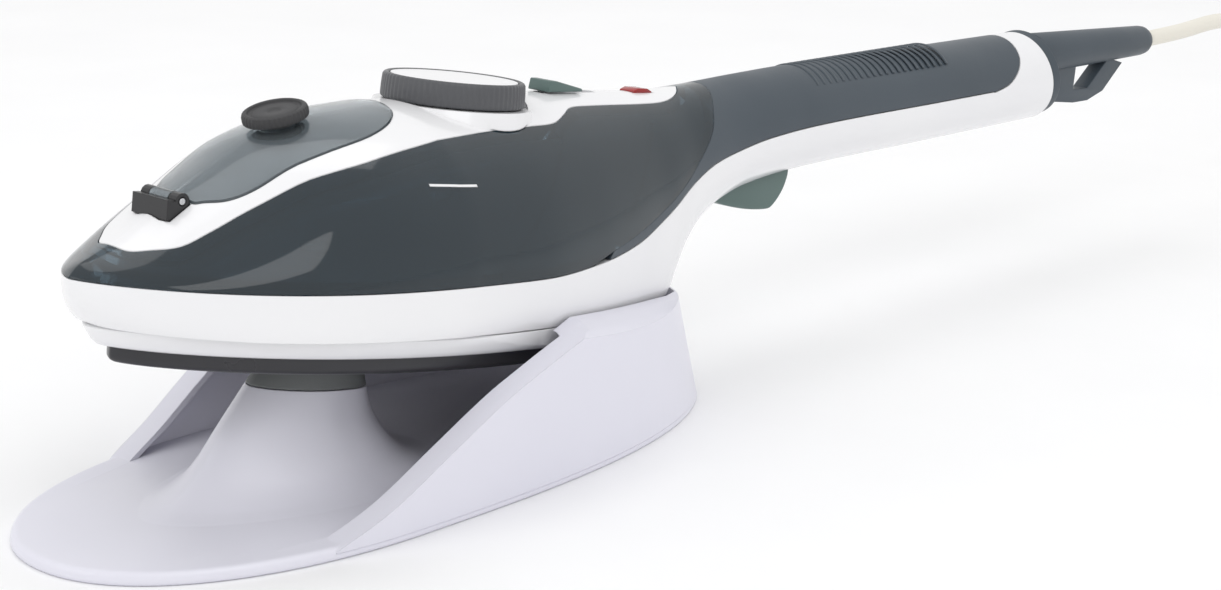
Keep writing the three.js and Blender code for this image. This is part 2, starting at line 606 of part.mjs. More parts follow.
function steamSlider() {
  const { u, length, halfWidth } = SLIDER;
  const rise = (a) => crownAt(u + a) + FIT;
  const outline = [[u, rise(0)], [u + length, rise(length)], [u + length, rise(length) + 0.8],
    [u + 3, rise(0) + 3.2], [u + 0.6, rise(0) + 3.2]];
  const button = solid(sidePrism(outline, halfWidth));
  return button.add(solid(box(u + 3, u + 9, -2.2, 2.2, crownAt(u) - 4, crownAt(u) + 1)));
}

function indicatorLens() {
  const { u, length, halfWidth } = LAMP;
  const top = crownAt(u + length / 2);
  const outline = [[u, top - 1.6], [u + length, top - 1.6], [u + length, top + 0.2], [u + length - 2, top + 1],
    [u + 2, top + 1], [u, top + 0.2]];
  return sidePrism(outline, halfWidth);
}

// ---------------------------------------------------------------- trigger and pump

function trigger() {
  const { u, w, reach, halfWidth, pin } = TRIGGER;
  const keel = keelAt(u);
  const outline = [
    [u - 4, w - 3], [u - 2, keel - 1.2], [u + 10, keel - 3.8], [u + 22, keel - 4.4], [u + reach - 5, keel - 3],
    [u + reach - 1, keel + 2], [u + reach + 0.5, keel + 7.5], [u + reach - 2, w + 3], [u + 14, w + 1],
    [u + 3, w + 3.4], [u - 3, w + 2.4],
  ];
  const lever = solid(sidePrism(outline, halfWidth));
  return lever.subtract(solid(crossRod(u, w, 20, pin + FIT, 10)));
}

function pumpBody() {
  const { u, radius, bottom, top, plunger } = PUMP;
  const shape = solid(rod(u, 0, bottom, top, radius, 16));
  return shape.subtract(solid(rod(u, 0, bottom - 2, top - 3, plunger + FIT, 12)));
}

function pumpPlunger() {
  const { u, bottom, top, plunger } = PUMP;
  const foot = TRIGGER.w + 3 + FIT + 0.4;
  const head = rod(u, 0, foot, foot + 1.6, 5, 14);
  return solid(rod(u, 0, foot + 1, top - 9, plunger, 12)).add(solid(head));
}

// The return spring, wound round the plunger between its foot and the pump.
function pumpSpring() {
  const { u, bottom, plunger } = PUMP;
  const start = TRIGGER.w + 3 + FIT + 0.4 + 1.6 + 0.6;
  const turns = 3;
  const points = [];
  for (let k = 0; k <= turns * 8; k++) {
    const a = (Math.PI * k) / 4;
    const radius = plunger + 1.3;
    const w = start + ((bottom - 0.8 - start) * k) / (turns * 8);
    points.push([u + radius * Math.cos(a), radius * Math.sin(a), w]);
  }
  return tube(points, 0.35, turns * 8, 5);
}

const SUCTION = [[232.6, 3, 60], [224, 3, 57], [214, 3.5, 52.5], [204, 5, 46], [196, 6, 39.5], [188, 7, 33.5],
  [172, 7, 27], [158, 6, 25], [148, 6, 26.5]];
const DELIVERY = [[232.6, -3, 60], [224, -3, 57], [214, -3.5, 52.5], [204, -5, 46], [196, -6, 39.5],
  [188, -7, 33.5], [176, -8, 27.5], [164, -9, 23], [150, -12, 21.5], [122, -17, 20.6], [96, -15, 20.6],
  [85, -11.5, 21.2], [80.4, -9.2, 20], [80, -9, INLET[2] + 0.6]];

// ---------------------------------------------------------------- handle end, cord and wiring

const leanPoint = (along, up) => {
  const [c, s] = [Math.cos(END_LEAN), Math.sin(END_LEAN)];
  return [HANDLE.end + along * c - up * s, axisAt(HANDLE.end) + along * s + up * c];
};

function endCap() {
  const thick = 3.4;
  let cap = new THREE.CylinderGeometry(HANDLE.endRadius - 0.6, HANDLE.endRadius + 0.1, thick, 32);
  cap = cap.rotateZ(-Math.PI / 2).translate(FIT + thick / 2, 0, 0);
  cap.rotateY(-END_LEAN).translate(HANDLE.end, 0, axisAt(HANDLE.end));
  const hole = guardRod(NECK + FIT, -14, 30);
  return solid(cap).subtract(solid(hole));
}

// A rod along the cord guard's axis, between two distances from the end face.
const GUARD_SLOPE = 0.0934;
function guardRod(radius, from, to, tip = radius, sides = 20) {
  const [u, w] = leanPoint(0, GUARD.raise);
  const shape = new THREE.CylinderGeometry(tip, radius, to - from, sides).rotateZ(-Math.PI / 2);
  return shape.translate((from + to) / 2, 0, 0).rotateY(-Math.atan(GUARD_SLOPE)).translate(u, 0, w);
}

// The cord guard: a long sleeve, its neck and keyed flange inside the handle, and the hanging loop.
const NECK = 4.6;
function cordGuard() {
  const start = 7.5;
  const [u, w] = [HANDLE.end, axisAt(HANDLE.end)];
  const plate = [leanPoint(4.1, -10.4), [u + 32, w - 9], [u + 41, w - 8.1], [u + 50, w - 4.6], [u + 60.5, w + 5.8],
    [u + 40, w + 9], leanPoint(4.1, 8)];
  const window = [[u + 31, w - 4.2], [u + 39.8, w - 3.8], [u + 50, w + 6], [u + 31, w + 6]];
  let guard = solid(sidePrism(plate, 3)).subtract(solid(sidePrism(window, 10)));
  guard = guard.add(solid(guardRod(GUARD.radius, start, GUARD.length - 4, GUARD.tip + 0.4)));
  guard = guard.add(solid(guardRod(GUARD.tip + 0.4, GUARD.length - 4.2, GUARD.length, GUARD.tip - 0.8)));
  guard = guard.add(solid(guardRod(NECK, -5, start + 1)));
  guard = guard.add(solid(guardRod(NECK + 2, -6.5, -2.6)).intersect(bodySkin(BODY.wall + FIT, HIDDEN)));
  return guard.subtract(solid(guardRod(GUARD.bore, -20, GUARD.length + 9, GUARD.bore, 12)));
}

// A point on the cord guard's axis.
function guardPoint(along) {
  const [u, w] = leanPoint(0, GUARD.raise);
  const length = Math.hypot(1, GUARD_SLOPE);
  return [u + along / length, 0, w + (along * GUARD_SLOPE) / length];
}

// The cord inside the handle, from the end of the guard's bore to the terminal block.
const LEAD_IN = [guardPoint(GUARD.length - 2), guardPoint(40), guardPoint(2), guardPoint(-9), [350, 0, 76.6],
  [343, 0, 75]];

const BLOCK = { from: 322 + 8, to: 342, half: 7, low: 69.5, high: 80 };
const LEADS = [[BLOCK.from - FIT, 4.5, 76], [310, 8.6, 71], [285, 9.5, 66], [255, 9.6, 61], [234, 9.4, 57.5],
  [214, 9.4, 51.5], [200, 10, 42], [190, 11, 35], [176, 13, 27], [162, 15, 22], [156, 15, 17.5]];

function cordClamp() {
  const half = HANDLE.radius - 8.9; // the round handle is this narrow inside at the clamp's height
  let clamp = solid(box(346, 352, -half, half, 80.7, 82.5));
  for (const v of [2.4 - half, half - 2.4]) clamp = clamp.subtract(solid(rod(349, v, 60, 90, 1.3, 8)));
  return clamp;
}

// A pan-head screw standing on its point, head down.
function screw(u, v, headLow, length, radius = 1.2) {
  const head = rod(u, v, headLow, headLow + 1.6, radius * 2.1, 12);
  const slot = box(u - radius * 1.5, u + radius * 1.5, v - 0.35, v + 0.35, headLow - 1, headLow + 0.7);
  const shank = rod(u, v, headLow + 1.5, headLow + length, radius, 8);
  return solid(head).add(solid(shank)).subtract(solid(slot));
}

// ---------------------------------------------------------------- the iron

const iron = new THREE.Group();
iron.position.set(REST.x, 0, REST.z);
iron.rotation.y = TILT;

piece(iron, "soleplate", soleplate(), "black");
piece(iron, "sole_casting", soleCasting(), "casting");
piece(iron, "heating_element", tube(elementPath(0), CASTING.element, 26, 8), "steel");
piece(iron, "steam_chamber_cover", chamberCover(), "steel");
piece(iron, "heat_shield", heatShield(), "white");
piece(iron, "lower_shell", lowerShell(), "white");
piece(iron, "water_tank", waterTank(), "smoke");
piece(iron, "top_cover", topCover(), "white");
piece(iron, "grip_cover", gripCover(), "slate");
piece(iron, "hinge_bracket", hingeBracket(), "black");
piece(iron, "hinge_pin", crossRod(HINGE.u, HINGE.w, HINGE.halfWidth, HINGE.pin, 10), "steel");
piece(iron, "fill_lid", fillLid(), "lidSmoke");
piece(iron, "lid_plug", lidPlug(), "rubber");
piece(iron, "dial_knob", dialKnob(), "darkGrey");
piece(iron, "dial_cap", dialCap(), "white");
piece(iron, "thermostat", rod(DIAL.u, 0, CASTING.top + FIT, 22, 9, 20), "steel");
piece(iron, "dial_shaft", rod(DIAL.u, 0, 22 + FIT, DIAL.top - 1.4, DIAL.shaft, 12), "steel");
piece(iron, "steam_slider", steamSlider(), "greyGreen");
piece(iron, "valve_needle", rod(VALVE.u, 0, 20, VALVE.top, VALVE.needle, 10), "steel");
piece(iron, "valve_seat", valveSeat(), "silicone");
piece(iron, "indicator_lens", indicatorLens(), "red");
piece(iron, "indicator_lamp", rod(LAMP.u + 4, 0, crownAt(LAMP.u) - 4.2, crownAt(LAMP.u) - 2, 1.8, 10), "red");
piece(iron, "trigger", trigger(), "greyGreen");
piece(iron, "trigger_pin", crossRod(TRIGGER.u, TRIGGER.w, 9.4, TRIGGER.pin, 10), "steel");
piece(iron, "pump_body", pumpBody(), "phenolic");
piece(iron, "pump_plunger", pumpPlunger(), "white");
piece(iron, "pump_spring", pumpSpring(), "steel");
piece(iron, "suction_tube", tube(SUCTION, 1.8, 18, 8), "silicone");
piece(iron, "delivery_tube", tube(DELIVERY, 1.8, 28, 8), "silicone");
piece(iron, "thermal_fuse", box(128, 146, -2.6, 2.6, CASTING.top + FIT, CASTING.top + 5), "brass");
piece(iron, "live_lead", tube(LEADS, 1.2, 26, 6), "leadBlack");
piece(iron, "neutral_lead", tube(LEADS.map(([u, v, w]) => [u, -v, w]), 1.2, 26, 6), "silicone");
const block = box(BLOCK.from, BLOCK.to, -BLOCK.half, BLOCK.half, BLOCK.low, BLOCK.high);
piece(iron, "terminal_block", block, "phenolic");
piece(iron, "inner_cord", tube(LEAD_IN, CORD.radius, 18, 8), "cord");
piece(iron, "cord_clamp", cordClamp(), "black");
piece(iron, "end_cap", endCap(), "slate");
piece(iron, "cord_guard", cordGuard(), "slate");
SHIELD_SCREWS.forEach(([u, v], k) => {
  piece(iron, "shield_screw_" + (k + 1), screw(u, v, SHIELD_TOP - 4, 10), "steel");
});
HANDLE_SCREWS.forEach((u, k) => {
  piece(iron, "handle_screw_" + (k + 1), screw(u, 0, keelAt(u) + 3, 11), "steel");
});

function valveSeat() {
  const seat = solid(rod(VALVE.u, 0, CASTING.top + 2, seamAt(VALVE.u) + 4, VALVE.seat - FIT, 12));
  return seat.subtract(solid(rod(VALVE.u, 0, 10, 40, VALVE.needle + FIT, 10)));
}

// ---------------------------------------------------------------- the stand

// The stand's plan outline at a height, shrunk by inset.
function standOutline(z, inset = 0) {
  const half = [];
  const wide = STAND.halfWidth + STAND_SPLAY * z - inset;
  const rear = STAND.rear - STAND_REAR_RAKE * z - inset;
  const tip = STAND.tip + inset;
  for (let k = 0; k < 10; k++) {
    const t = 1 - (0.002 + 0.998 * grow(k, 10));
    half.push([STAND.widest - t * (STAND.widest - tip), -wide * (1 - t ** 2.136) ** (1 / 2.136)]);
  }
  for (let k = 0; k < 9; k++) {
    const t = 0.995 * fade(k, 8);
    half.push([STAND.widest + t * (rear - STAND.widest), -wide * (1 - t ** 2.8) ** 0.5]);
  }
  return mirrored(half);
}

const standBlock = (inset) => solid(stack([0, 20, 40, 64].map((z) => [z, standOutline(z, inset)])));

// A solid drawn in the iron's frame, moved to the stand's.
function fromIron(geometry) {
  return solid(geometry.rotateY(TILT).translate(REST.x, 0, REST.z));
}

// The rounded shoulder that brings the walls in to the housing, drawn in the iron's frame.
function shoulder(drop) {
  const levels = [[-70, 16], [4, 16], [8, 14], [11, 9.5], [ROOF.top, 3]];
  return fromIron(stack(levels.map(([w, extra]) => [w - drop, bodyOutline(extra - drop)])));
}

// The side view of the wall's front edge, from the floor to above the roof.
const WALL_EDGE = [[-52, 2], [-49.8, 3.6], [-36.4, 10], [-20.3, 20], [-3.4, 30], [7.7, 35], [21.7, 40], [39.6, 45],
  [60, 52]];
function behindEdge(from, to) {
  const front = WALL_EDGE.map(([x, z]) => [x + from, z]);
  const back = to === null ? [[160, 52], [160, 2]] : WALL_EDGE.map(([x, z]) => [x + to, z]).reverse();
  return solid(sidePrism([...front, ...back], 90));
}

// The rest pillar: height, nose, rear and half width of its flared outline.
const PILLAR = [[3.2, -76, 18, 31], [5.5, -68, 9, 25.5], [11, -59.5, 0.5, 19.5], [22, -49.5, -5, 14],
  [44, -27, -8, 10]];
function pillarOutline(row, inset = 0) {
  const [, nose, rear, wide] = row;
  const half = [];
  const middle = nose + 0.62 * (rear - nose);
  for (let k = 0; k < 7; k++) {
    const t = 1 - (0.004 + 0.996 * grow(k, 7));
    half.push([middle - t * (middle - nose - inset), -(wide - inset) * (1 - t ** 1.8) ** 0.6]);
  }
  for (let k = 0; k < 6; k++) {
    const t = 0.99 * fade(k, 5);
    half.push([middle + t * (rear - inset - middle), -(wide - inset) * (1 - t ** 3.5) ** 0.5]);
  }
  return mirrored(half);
}

// The part of a solid between two heights of the iron's frame.
function betweenLevels(shape, low, high) {
  return shape.intersect(fromIron(box(-60, 300, -90, 90, low, high)));
}

function pillarBlock(inset) {
  const heights = [3.2, 4.4, 6, 8.5, 12, 17, 24, 33, 44];
  const rows = heights.map((z) => [z, read(PILLAR, 1, z), read(PILLAR, 2, z), read(PILLAR, 3, z)]);
  return solid(stack(rows.map((row) => [row[0], pillarOutline(row, inset)])));
}

const FEET = [[-60, -22], [-60, 22], [84, -26], [84, 26]];

function standShell() {
  const outer = standBlock(0).intersect(shoulder(0));
  const inner = standBlock(STAND.wall).intersect(shoulder(STAND.wall));
  let walls = outer.subtract(inner).intersect(behindEdge(0, null));
  const flange = outer.subtract(standBlock(STAND.flange)).intersect(behindEdge(0, 3.2));
  walls = walls.add(flange);
  walls = walls.subtract(fromIron(planPrism(bodyOutline(ROOF.gap), -8, 40)));
  const layers = [[0, standOutline(0, 0.8)], [0.8, standOutline(0.8)], [STAND.floor, standOutline(STAND.floor)]];
  const floor = solid(stack(layers));
  const pillar = betweenLevels(pillarBlock(0), -80, -PAD - 2 * FIT);
  let shell = floor.add(walls).add(pillar);
  for (const [x, y] of FEET) shell = shell.subtract(solid(rod(x, y, -1, FOOT.depth, FOOT.radius + FIT, 16)));
  return shell;
}

const stand = new THREE.Group();
piece(stand, "stand_shell", standShell(), "lilacWhite");
piece(stand, "rest_pad", betweenLevels(pillarBlock(0), -PAD - FIT, -FIT), "padGrey");
FEET.forEach(([x, y], k) => {
  piece(stand, "foot_pad_" + (k + 1), rod(x, y, 0, FOOT.depth - FIT, FOOT.radius, 16), "rubber");
});

// ---------------------------------------------------------------- the free cord, coiled, and its plug

// Where the cord leaves its guard, in the stand's frame.
const guardTip = new THREE.Vector3(...guardPoint(GUARD.length + FIT));
guardTip.applyAxisAngle(new THREE.Vector3(0, 1, 0), TILT);
const exit = [guardTip.x + REST.x, 0, guardTip.z + REST.z];
const FLOOR_LINE = CORD.radius + 0.1;
const CORD_ROUTE = [
  exit, [400, 0, 70.2], [424, 0, 71], [442, 0, 68.5], [458, 0, 60], [470, 0, 46], [478, 0, 30], [486, 0, 15],
  [496, 0, 6], [506, 0, FLOOR_LINE + 0.3], [COIL.x - 34, 0, FLOOR_LINE],
];

function coilRing() {
  const profile = [];
  for (let k = 0; k <= 10; k++) {
    const a = (2 * Math.PI * k) / 10;
    profile.push(new THREE.Vector2(COIL.turn + COIL.bundle * Math.cos(a), COIL.bundle * Math.sin(a)));
  }
  return new THREE.LatheGeometry(profile, 28).rotateX(Math.PI / 2).translate(COIL.x, COIL.y, COIL.lift);
}

function coilTie() {
  const inner = COIL.bundle + 2 * FIT;
  const band = [[inner, -4], [inner + COIL.tie, -4], [inner + COIL.tie, 4], [inner, 4], [inner, -4]];
  const ring = new THREE.LatheGeometry(band.map(([r, y]) => new THREE.Vector2(r, y)), 24);
  return ring.translate(COIL.x - COIL.turn, COIL.y, COIL.lift);
}

function plugBody() {
  const levels = [[0, 3.4], [14, 4.6], [14.3, 7.6], [19, 11], [32, 12.2], [PLUG_LENGTH, 11.6]];
  const rings = levels.map(([along, wide]) => {
    const tall = Math.min(wide, TAIL.z);
    const ring = [];
    for (let k = 0; k < 16; k++) {
      const a = (2 * Math.PI * k) / 16;
      const soften = (value) => Math.sign(value) * Math.abs(value) ** 0.6;
      ring.push([along, wide * soften(Math.cos(a)), tall * soften(Math.sin(a))]);
    }
    return ring;
  });
  return loft(rings).translate(TAIL.to + FIT, TAIL.y, TAIL.z);
}

piece(stand, "cord_run", tube(CORD_ROUTE, CORD.radius, 20, CORD.sides), "cord");
piece(stand, "cord_coil", coilRing(), "cord");
piece(stand, "cord_tie", coilTie(), "black");
const tail = [[TAIL.from, TAIL.y, TAIL.high], [TAIL.from + 12, TAIL.y, TAIL.z + 0.4], [TAIL.to, TAIL.y, TAIL.z]];
piece(stand, "cord_tail", tube(tail, CORD.radius, 8, CORD.sides), "cord");
piece(stand, "plug_body", plugBody(), "cord");
[-1, 1].forEach((side, k) => {
  const y = TAIL.y + (side * PRONG.pitch) / 2;
  const face = TAIL.to + PLUG_LENGTH + 2 * FIT;
  const half = [PRONG.thickness / 2, PRONG.width / 2];
  const blade = box(face, face + PRONG.length, y - half[0], y + half[0], TAIL.z - half[1], TAIL.z + half[1]);
  piece(stand, "plug_prong_" + (k + 1), blade, "brass");
});

const model = new THREE.Group();
model.add(stand, iron);

export default model;
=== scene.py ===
# %% [markdown]
# # A travel steam iron on its open stand
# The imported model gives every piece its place. This lesson gives the pieces their fine surface:
# smooth moulded shells, a smoky water tank, a matte grip, a coiled cord, and a plain studio.

# %% Load the frame
import json
import math

import bmesh
import bpy
from mathutils import Matrix, Vector


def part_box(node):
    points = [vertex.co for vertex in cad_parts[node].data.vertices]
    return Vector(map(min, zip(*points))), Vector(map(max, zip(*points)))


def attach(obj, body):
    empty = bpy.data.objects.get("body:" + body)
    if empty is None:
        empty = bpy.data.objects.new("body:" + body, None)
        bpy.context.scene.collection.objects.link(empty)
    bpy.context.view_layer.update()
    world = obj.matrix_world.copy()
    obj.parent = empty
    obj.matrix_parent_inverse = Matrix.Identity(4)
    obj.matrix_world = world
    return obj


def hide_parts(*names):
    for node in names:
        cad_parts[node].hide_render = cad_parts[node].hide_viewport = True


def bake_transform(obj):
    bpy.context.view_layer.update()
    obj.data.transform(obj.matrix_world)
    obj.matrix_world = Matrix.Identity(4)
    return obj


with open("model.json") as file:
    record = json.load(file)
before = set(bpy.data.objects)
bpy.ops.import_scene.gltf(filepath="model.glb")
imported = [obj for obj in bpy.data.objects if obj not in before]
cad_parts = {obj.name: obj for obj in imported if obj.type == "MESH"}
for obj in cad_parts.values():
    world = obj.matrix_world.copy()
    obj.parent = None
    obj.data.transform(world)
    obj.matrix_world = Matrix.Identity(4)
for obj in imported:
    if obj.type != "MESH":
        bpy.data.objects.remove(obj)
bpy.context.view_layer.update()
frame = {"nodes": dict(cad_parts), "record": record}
MM = 0.001
print("pieces in the frame:", len(frame["nodes"]))

# %% [markdown]
# ## The camera
# A long lens far away keeps the perspective gentle. The camera looks at a point above the middle of
# the iron, from the nose's side and a little above, with no shift and no roll.

# %% Camera
TARGET = Vector((93.4, 0, 29.2)) * MM
STANDPOINT = Vector((-416.5, -494.3, 227.7)) * MM


def add_camera():
    lens = bpy.data.cameras.new("camera")
    lens.lens = 73.93
    lens.sensor_width = 36
    camera = bpy.data.objects.new("camera", lens)
    bpy.context.scene.collection.objects.link(camera)
    camera.location = STANDPOINT
    camera.rotation_euler = (TARGET - STANDPOINT).to_track_quat("-Z", "Y").to_euler()
    bpy.context.scene.camera = camera
    return camera


print("camera distance:", round((TARGET - add_camera().location).length, 3))

# %% [markdown]
# ## Small tools
# Every moulded piece here is either skinned over a run of rings, or cut from another by a flat
# outline pushed through it. These helpers work in millimetres and turn the result into metres once.

# %% Mesh helpers
TILT = math.radians(8.37)
REST = Vector((-82.1, 0, 47.3))
IRON_TO_ROW = Matrix.Scale(MM, 4) @ Matrix.Translation(REST) @ Matrix.Rotation(TILT, 4, "Y")
STAND_TO_ROW = Matrix.Scale(MM, 4)


def new_piece(name, verts, faces):
    mesh = bpy.data.meshes.new(name)
    mesh.from_pydata(verts, [], faces)
    piece = bpy.data.objects.new(name, mesh)
    bpy.context.scene.collection.objects.link(piece)
    return piece


def skin_over(name, rings):
    """A closed skin over rings with equal numbers of points."""
    count = len(rings[0])
    verts = [point for ring in rings for point in ring]
    faces = []
    for r in range(len(rings) - 1):
        for k in range(count):
            a, b = r * count + k, r * count + (k + 1) % count
            faces.append((a, b, b + count, a + count))
    faces.append(tuple(range(count - 1, -1, -1)))
    faces.append(tuple(range(len(verts) - count, len(verts))))
    return new_piece(name, verts, faces)


def pushed(name, outline, low, high, place):
    """A flat outline pushed from low to high; place(a, b, h) gives each point's position."""
    area = sum(a[0] * b[1] - b[0] * a[1] for a, b in zip(outline, outline[1:] + outline[:1]))
    points = outline if area > 0 else outline[::-1]
    piece = skin_over(name, [[place(a, b, h) for a, b in points] for h in (low, high)])
    return face_out(piece)


def face_out(piece):
    """Turns a closed mesh's faces outwards."""
    work = bmesh.new()
    work.from_mesh(piece.data)
    bmesh.ops.recalc_face_normals(work, faces=work.faces)
    if work.calc_volume(signed=True) < 0:
        bmesh.ops.reverse_faces(work, faces=work.faces)
    work.to_mesh(piece.data)
    work.free()
    return piece


def plan_prism(outline, low, high):
    return pushed("plan_cut", outline, low, high, lambda a, b, h: (a, b, h))


def side_prism(outline, half, name="side_cut"):
    return pushed(name, outline, -half, half, lambda a, b, h: (a, h, b))


def block(u0, u1, v0, v1, w0, w1):
    return plan_prism([(u0, v0), (u1, v0), (u1, v1), (u0, v1)], w0, w1)


def turned(name, profile, steps=64):
    """A profile of (radius, height) turned about the upright axis, open where it meets the axis."""
    rings = []
    for radius, height in profile:
        ring = [math.tau * k / steps for k in range(steps)]
        reach = max(radius, 0.01)
        rings.append([(reach * math.cos(a), reach * math.sin(a), height) for a in ring])
    return face_out(skin_over(name, rings))


def merge(target, other, how):
    """Joins or cuts a closed piece with another, and removes the other."""
    change = target.modifiers.new("merge", "BOOLEAN")
    change.operation = how
    change.solver = "MANIFOLD"
    change.object = other
    bpy.context.view_layer.update()
    result = bpy.data.meshes.new_from_object(target.evaluated_get(bpy.context.evaluated_depsgraph_get()))
    target.modifiers.clear()
    target.data = result
    bpy.data.objects.remove(other)
    return target


def minus(target, *others):
    for other in others:
        merge(target, other, "DIFFERENCE")
    return target


def plus(target, *others):
    for other in others:
        merge(target, other, "UNION")
    return target


def within(target, *others):
    for other in others:
        merge(target, other, "INTERSECT")
    return target


def twin(piece):
    copy = piece.copy()
    copy.data = piece.data.copy()
    bpy.context.scene.collection.objects.link(copy)
    return copy


def smooth_line(points, per_span=6):
    """A soft curve through every point."""
    line = []
    ends = [points[0], *points, points[-1]]
    for p0, p1, p2, p3 in zip(ends, ends[1:], ends[2:], ends[3:]):
        for k in range(per_span):
            t = k / per_span
            blend = (
                -0.5 * t + t * t - 0.5 * t**3,
                1 - 2.5 * t * t + 1.5 * t**3,
                0.5 * t + 2 * t * t - 1.5 * t**3,
                -0.5 * t * t + 0.5 * t**3,
            )
            near = list(zip(blend, (p0, p1, p2, p3)))
            line.append(tuple(sum(w * p[i] for w, p in near) for i in range(len(p1))))
    line.append(tuple(points[-1]))
    return line


def finish_piece(piece, name, body, nodes, material, to_row=IRON_TO_ROW, angle=32):
    """Puts a piece in its place in metres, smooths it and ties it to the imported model."""
    piece.data.transform(to_row)
    piece.name = piece.data.name = name
    piece.data.materials.clear()
    piece.data.materials.append(material)
    piece.data.shade_smooth()
    piece.data.set_sharp_from_angle(angle=math.radians(angle))
    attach(piece, body)
    if nodes:
        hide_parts(*nodes)
    print(name, len(piece.data.polygons), "faces")
    return piece


# %% [markdown]
# ## Shared material effects
# Moulded plastic is never quite even. Two small node groups give every finish the same kinds of
# detail: a fine moulded grain over softly rounded edges, and a slow cloudy change of shade and gloss.

# %% Shared node groups
def node_group(name, inputs, outputs):
    group = bpy.data.node_groups.new(name, "ShaderNodeTree")
    for label, value in inputs:
        socket = group.interface.new_socket(label, in_out="INPUT", socket_type="NodeSocketFloat")
        socket.default_value = value
    for label, kind in outputs:
        group.interface.new_socket(label, in_out="OUTPUT", socket_type=kind)
    return group, group.nodes.new("NodeGroupInput"), group.nodes.new("NodeGroupOutput")


def add_noise(group, scale, detail):
    place = group.nodes.new("ShaderNodeTexCoord")
    noise = group.nodes.new("ShaderNodeTexNoise")
    noise.inputs["Scale"].default_value = scale
    noise.inputs["Detail"].default_value = detail
    group.links.new(place.outputs["Object"], noise.inputs["Vector"])
    return noise


def make_grain_group():
    """Fine grain over edges rounded off a little, as one normal."""
    group, inside, out = node_group(
        "moulded_grain", [("Scale", 900), ("Depth", 0.1), ("Edge", 0.0004)], [("Normal", "NodeSocketVector")]
    )
    noise = add_noise(group, 900, 3)
    rounded = group.nodes.new("ShaderNodeBevel")
    rounded.samples = 4
    bump = group.nodes.new("ShaderNodeBump")
    bump.inputs["Distance"].default_value = 0.0001
    group.links.new(inside.outputs["Scale"], noise.inputs["Scale"])
    group.links.new(inside.outputs["Depth"], bump.inputs["Strength"])
    group.links.new(inside.outputs["Edge"], rounded.inputs["Radius"])
    group.links.new(rounded.outputs["Normal"], bump.inputs["Normal"])
    group.links.new(noise.outputs["Fac"], bump.inputs["Height"])
    group.links.new(bump.outputs["Normal"], out.inputs["Normal"])
    return group


def make_cloud_group():
    """A slow cloudy value between a low and a high limit."""
    group, inside, out = node_group(
        "cloudy_value", [("Scale", 25), ("Low", 0.2), ("High", 0.3)], [("Value", "NodeSocketFloat")]
    )
    noise = add_noise(group, 25, 5)
    spread = group.nodes.new("ShaderNodeMapRange")
    spread.inputs["From Min"].default_value = 0.3
    spread.inputs["From Max"].default_value = 0.7
    group.links.new(inside.outputs["Scale"], noise.inputs["Scale"])
    group.links.new(noise.outputs["Fac"], spread.inputs["Value"])
    group.links.new(inside.outputs["Low"], spread.inputs["To Min"])
    group.links.new(inside.outputs["High"], spread.inputs["To Max"])
    group.links.new(spread.outputs["Result"], out.inputs["Value"])
    return group


GRAIN = make_grain_group()
CLOUD = make_cloud_group()

# %% [markdown]
# ## The finishes
# One function mixes two close shades by a cloudy noise, varies the gloss and adds the grain. Each
# finish then only states its own colours, gloss and depth, as a moulder's sample card does.


# %% Finishes
def finish(name, shade, other, gloss, grain=(900, 0.1), edge=0.0004, metal=0.0, clear=0.0, ior=1.5,
           coat=0.0):
    """A finish from two shades, a gloss range (low, high) and a grain (scale, depth)."""
    material = bpy.data.materials.new(name)
    material.use_nodes = True
    tree = material.node_tree
    surface = tree.nodes["Principled BSDF"]
    surface.inputs["Metallic"].default_value = metal
    surface.inputs["Transmission Weight"].default_value = clear
    surface.inputs["IOR"].default_value = ior
    surface.inputs["Coat Weight"].default_value = coat
    tint = tree.nodes.new("ShaderNodeGroup")
    tint.node_tree = CLOUD
    tint.inputs["Scale"].default_value = 12
    tint.inputs["Low"].default_value = 0
    tint.inputs["High"].default_value = 1
    mix = tree.nodes.new("ShaderNodeMix")
    mix.data_type = "RGBA"
    mix.inputs["A"].default_value = (*shade, 1)
    mix.inputs["B"].default_value = (*other, 1)
    tree.links.new(tint.outputs["Value"], mix.inputs["Factor"])
    tree.links.new(mix.outputs["Result"], surface.inputs["Base Color"])
    sheen = tree.nodes.new("ShaderNodeGroup")
    sheen.node_tree = CLOUD
    sheen.inputs["Scale"].default_value = 40
    sheen.inputs["Low"].default_value = gloss[0]
    sheen.inputs["High"].default_value = gloss[1]
    tree.links.new(sheen.outputs["Value"], surface.inputs["Roughness"])
    relief = tree.nodes.new("ShaderNodeGroup")
    relief.node_tree = GRAIN
    relief.inputs["Scale"].default_value = grain[0]
    relief.inputs["Depth"].default_value = grain[1]
    relief.inputs["Edge"].default_value = edge
    tree.links.new(relief.outputs["Normal"], surface.inputs["Normal"])
    return material


WHITE = finish("white_housing", (0.84, 0.84, 0.85), (0.80, 0.80, 0.82), (0.16, 0.24), (500, 0.04), coat=0.3)
LILAC = finish("lilac_stand", (0.76, 0.755, 0.83), (0.73, 0.725, 0.805), (0.28, 0.38), (700, 0.06))
SMOKE = finish("smoky_tank", (0.075, 0.12, 0.155), (0.065, 0.105, 0.135), (0.04, 0.08), (60, 0.01), 0.0,
               clear=0.8, ior=1.49)
LID = finish("smoky_lid", (0.42, 0.47, 0.5), (0.38, 0.43, 0.46), (0.04, 0.08), (60, 0.01), 0.0,
             clear=0.85, ior=1.45)
SLATE = finish("slate_grip", (0.055, 0.072, 0.09), (0.045, 0.06, 0.075), (0.38, 0.5), (1600, 0.35), 0.0006)
DIAL_GREY = finish("dark_dial", (0.085, 0.088, 0.095), (0.07, 0.072, 0.08), (0.35, 0.48), (1400, 0.3),
                   0.0005)
PRINT = finish("dial_face", (0.86, 0.86, 0.87), (0.82, 0.82, 0.83), (0.3, 0.4), (900, 0.05))
